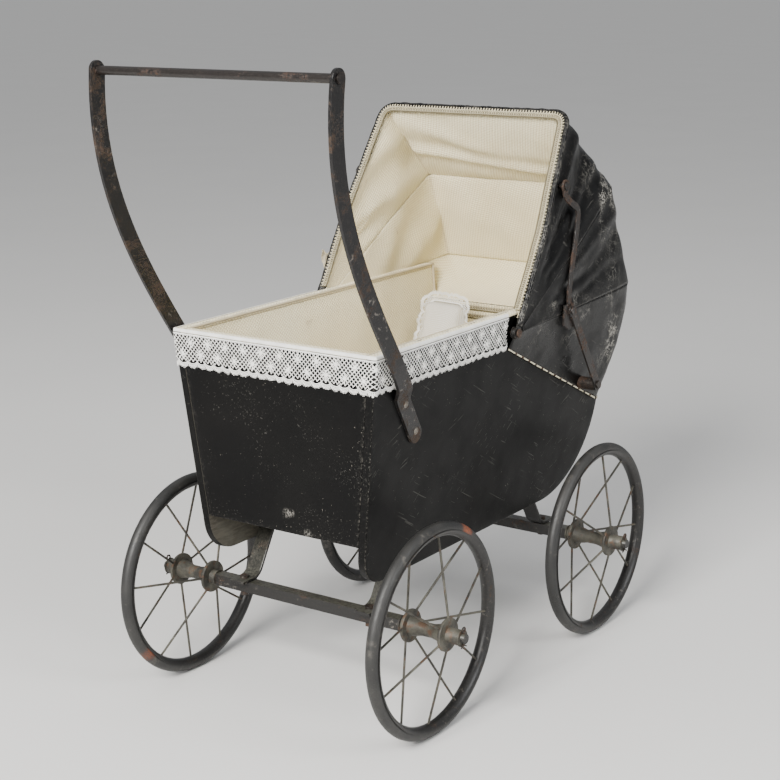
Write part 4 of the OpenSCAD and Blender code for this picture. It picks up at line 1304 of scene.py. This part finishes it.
def pillow_frill():
    """A gathered lace frill round the pillow's seam, turned and leaned back as the pillow is."""
    roll, lean = math.radians(-2), math.radians(90 - 18)
    half_w, half_l, radius, gathering = 22.0, 69.0, 9.0, 1.05
    corners = np.array([(half_w, -half_l), (half_w, half_l), (-half_w, half_l), (-half_w, -half_l)])
    loop = []
    for before, c, after in zip(np.roll(corners, 1, axis=0), corners, np.roll(corners, -1, axis=0)):
        loop += bent(c + unit(before - c) * radius, c, c + unit(after - c) * radius, 8)
    line = np.array(spread(loop + [loop[0]], 240))
    reach = reach_of(line)
    heap = lace_pattern(float(reach[-1]), 13.0, 7.0, 1.7, 0.75)
    u, v, h = heap.all()[0].T
    seam, out = read_off([line, across(line)], reach, u)
    x, y = (seam + out * (v - 3.5)[:, None]).T
    ruffle = 2.0 * np.sin(u / 2.9) * smooth_step(v, 1, 11)
    depth = h + ruffle + 0.25 * v
    up = x * math.sin(roll) + y * math.cos(roll)
    lo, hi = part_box("pillow")
    centre = np.array([(lo.x + hi.x) * 500, (lo.y + hi.y) * 500 + MID, (lo.z + hi.z) * 500])
    points = centre + np.column_stack([
        x * math.cos(roll) - y * math.sin(roll),
        up * math.cos(lean) - depth * math.sin(lean), up * math.sin(lean) + depth * math.cos(lean)])
    flat = (gathering * float(reach[-1]) / 1000, 0.013)
    threadwork("pillow_frill", points, heap, "lace", "white_lace",
               sheet=dict(flat=flat, held="gathered", rests_on=["pillow_pad"]))


padded_copy("mattress_pad", "mattress", "pad", 0.97, 0.006)
padded_copy("pillow_pad", "pillow", "white", 0.9, 0.012)
pillow_frill()


# Steel, wire, rubber and wood keep their CAD shapes

# Names of CAD nodes, their material, and the width of the bevel on their edges; the first match counts.
FINISHES = (
    ("tyre*", "tyre", 0), ("rim*", "rim", 0), ("spokes*", "wire", 0), ("hub*", "wire", 0.4),
    ("handle_screws", "screw", 0.3), ("spring_bolts", "bolt", 0), ("split_pins", "bolt", 0),
    ("hood_rivets", "bolt", 0), ("axle_washers", "wire", 0), ("spring*", "frame", 0.5),
    ("*axle", "frame", 0.5), ("handle_arm*", "handle", 0.6), ("handle_grip", "grip", 0),
    ("stay*", "stay", 0.3), ("*bow", "bow", 0.2), ("*board*", "wood", 0),
)


def finish_node(obj, material, bevel):
    if obj.material_slots:
        for s in obj.material_slots:
            s.material = MAT[material]
    else:
        obj.data.materials.append(MAT[material])
    if bevel:
        modifier(obj, "WELD", merge_threshold=0.000002)
        modifier(obj, "BEVEL", width=bevel / 1000, segments=2, limit_method="ANGLE",
                 angle_limit=math.radians(38), use_clamp_overlap=True)


for name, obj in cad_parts.items():
    for pattern, material, bevel in FINISHES:
        if fnmatchcase(name, pattern):
            finish_node(obj, material, bevel)
            break


# Camera, floor and light


def camera():
    azimuth, elevation, roll = math.radians(35.21), math.radians(14.02), math.radians(-0.7)
    level = math.cos(elevation)
    back = Vector((math.sin(azimuth) * level, -math.cos(azimuth) * level, math.sin(elevation)))
    right = Vector((math.cos(azimuth), math.sin(azimuth), 0))
    up = back.cross(right)
    obj = add_object("camera", configure(bpy.data.cameras.new("camera"), lens=79.9, sensor_width=36))
    matrix = obj.matrix_world.to_3x3()
    matrix.col[0] = right * math.cos(roll) + up * math.sin(roll)
    matrix.col[1] = up * math.cos(roll) - right * math.sin(roll)
    matrix.col[2] = back
    obj.matrix_world = matrix.to_4x4()
    obj.location = (0.949, -1206 / 1000 - MID / 1000, 0.685)
    bpy.context.scene.camera = obj


def floor():
    g = Graph("studio_floor")
    cloud = g.mix(g.noise(g.place(), 3), (0.7, 0.69, 0.67), (0.74, 0.73, 0.71))
    radius, count = 40.0, 96
    turns = [2 * math.pi * k / count for k in range(count)]
    mesh = bpy.data.meshes.new("floor")
    mesh.from_pydata([(radius * math.cos(a), radius * math.sin(a), 0) for a in turns], [], [range(count)])
    mesh.materials.append(g.finish(Base_Color=cloud, Roughness=0.75))
    add_object("floor", mesh)


def light(name, kind, energy, place, **settings):
    data = configure(bpy.data.lights.new(name, kind), energy=energy, **settings)
    return configure(add_object(name, data), location=place)


def area_light(name, place, aim, size, power, colour):
    obj = light(name, "AREA", power, place, shape="RECTANGLE", size=size[0], size_y=size[1], color=colour)
    obj.rotation_euler = (Vector(aim) - Vector(place)).to_track_quat("-Z", "Y").to_euler()


def surroundings():
    """A pale sky all round, and a wide soft light from straight above."""
    light("sky", "SUN", 0.6, (0, 0, 3), angle=math.radians(100))
    world = bpy.data.worlds.new("studio")
    world.use_nodes = True
    colour, strength = world.node_tree.nodes["Background"].inputs[:2]
    colour.default_value = (0.78, 0.8, 0.83, 1)
    strength.default_value = 0.46
    bpy.context.scene.world = world


camera()
floor()
area_light("key", (0.35, -2.3, 1.7), (0, 0.05, 0.36), (1.1, 1.0), 160, (1.0, 0.985, 0.96))
area_light("side", (2.4, -0.2, 1.5), (0, 0, 0.3), (1.0, 1.5), 40, (0.97, 0.98, 1.0))
surroundings()
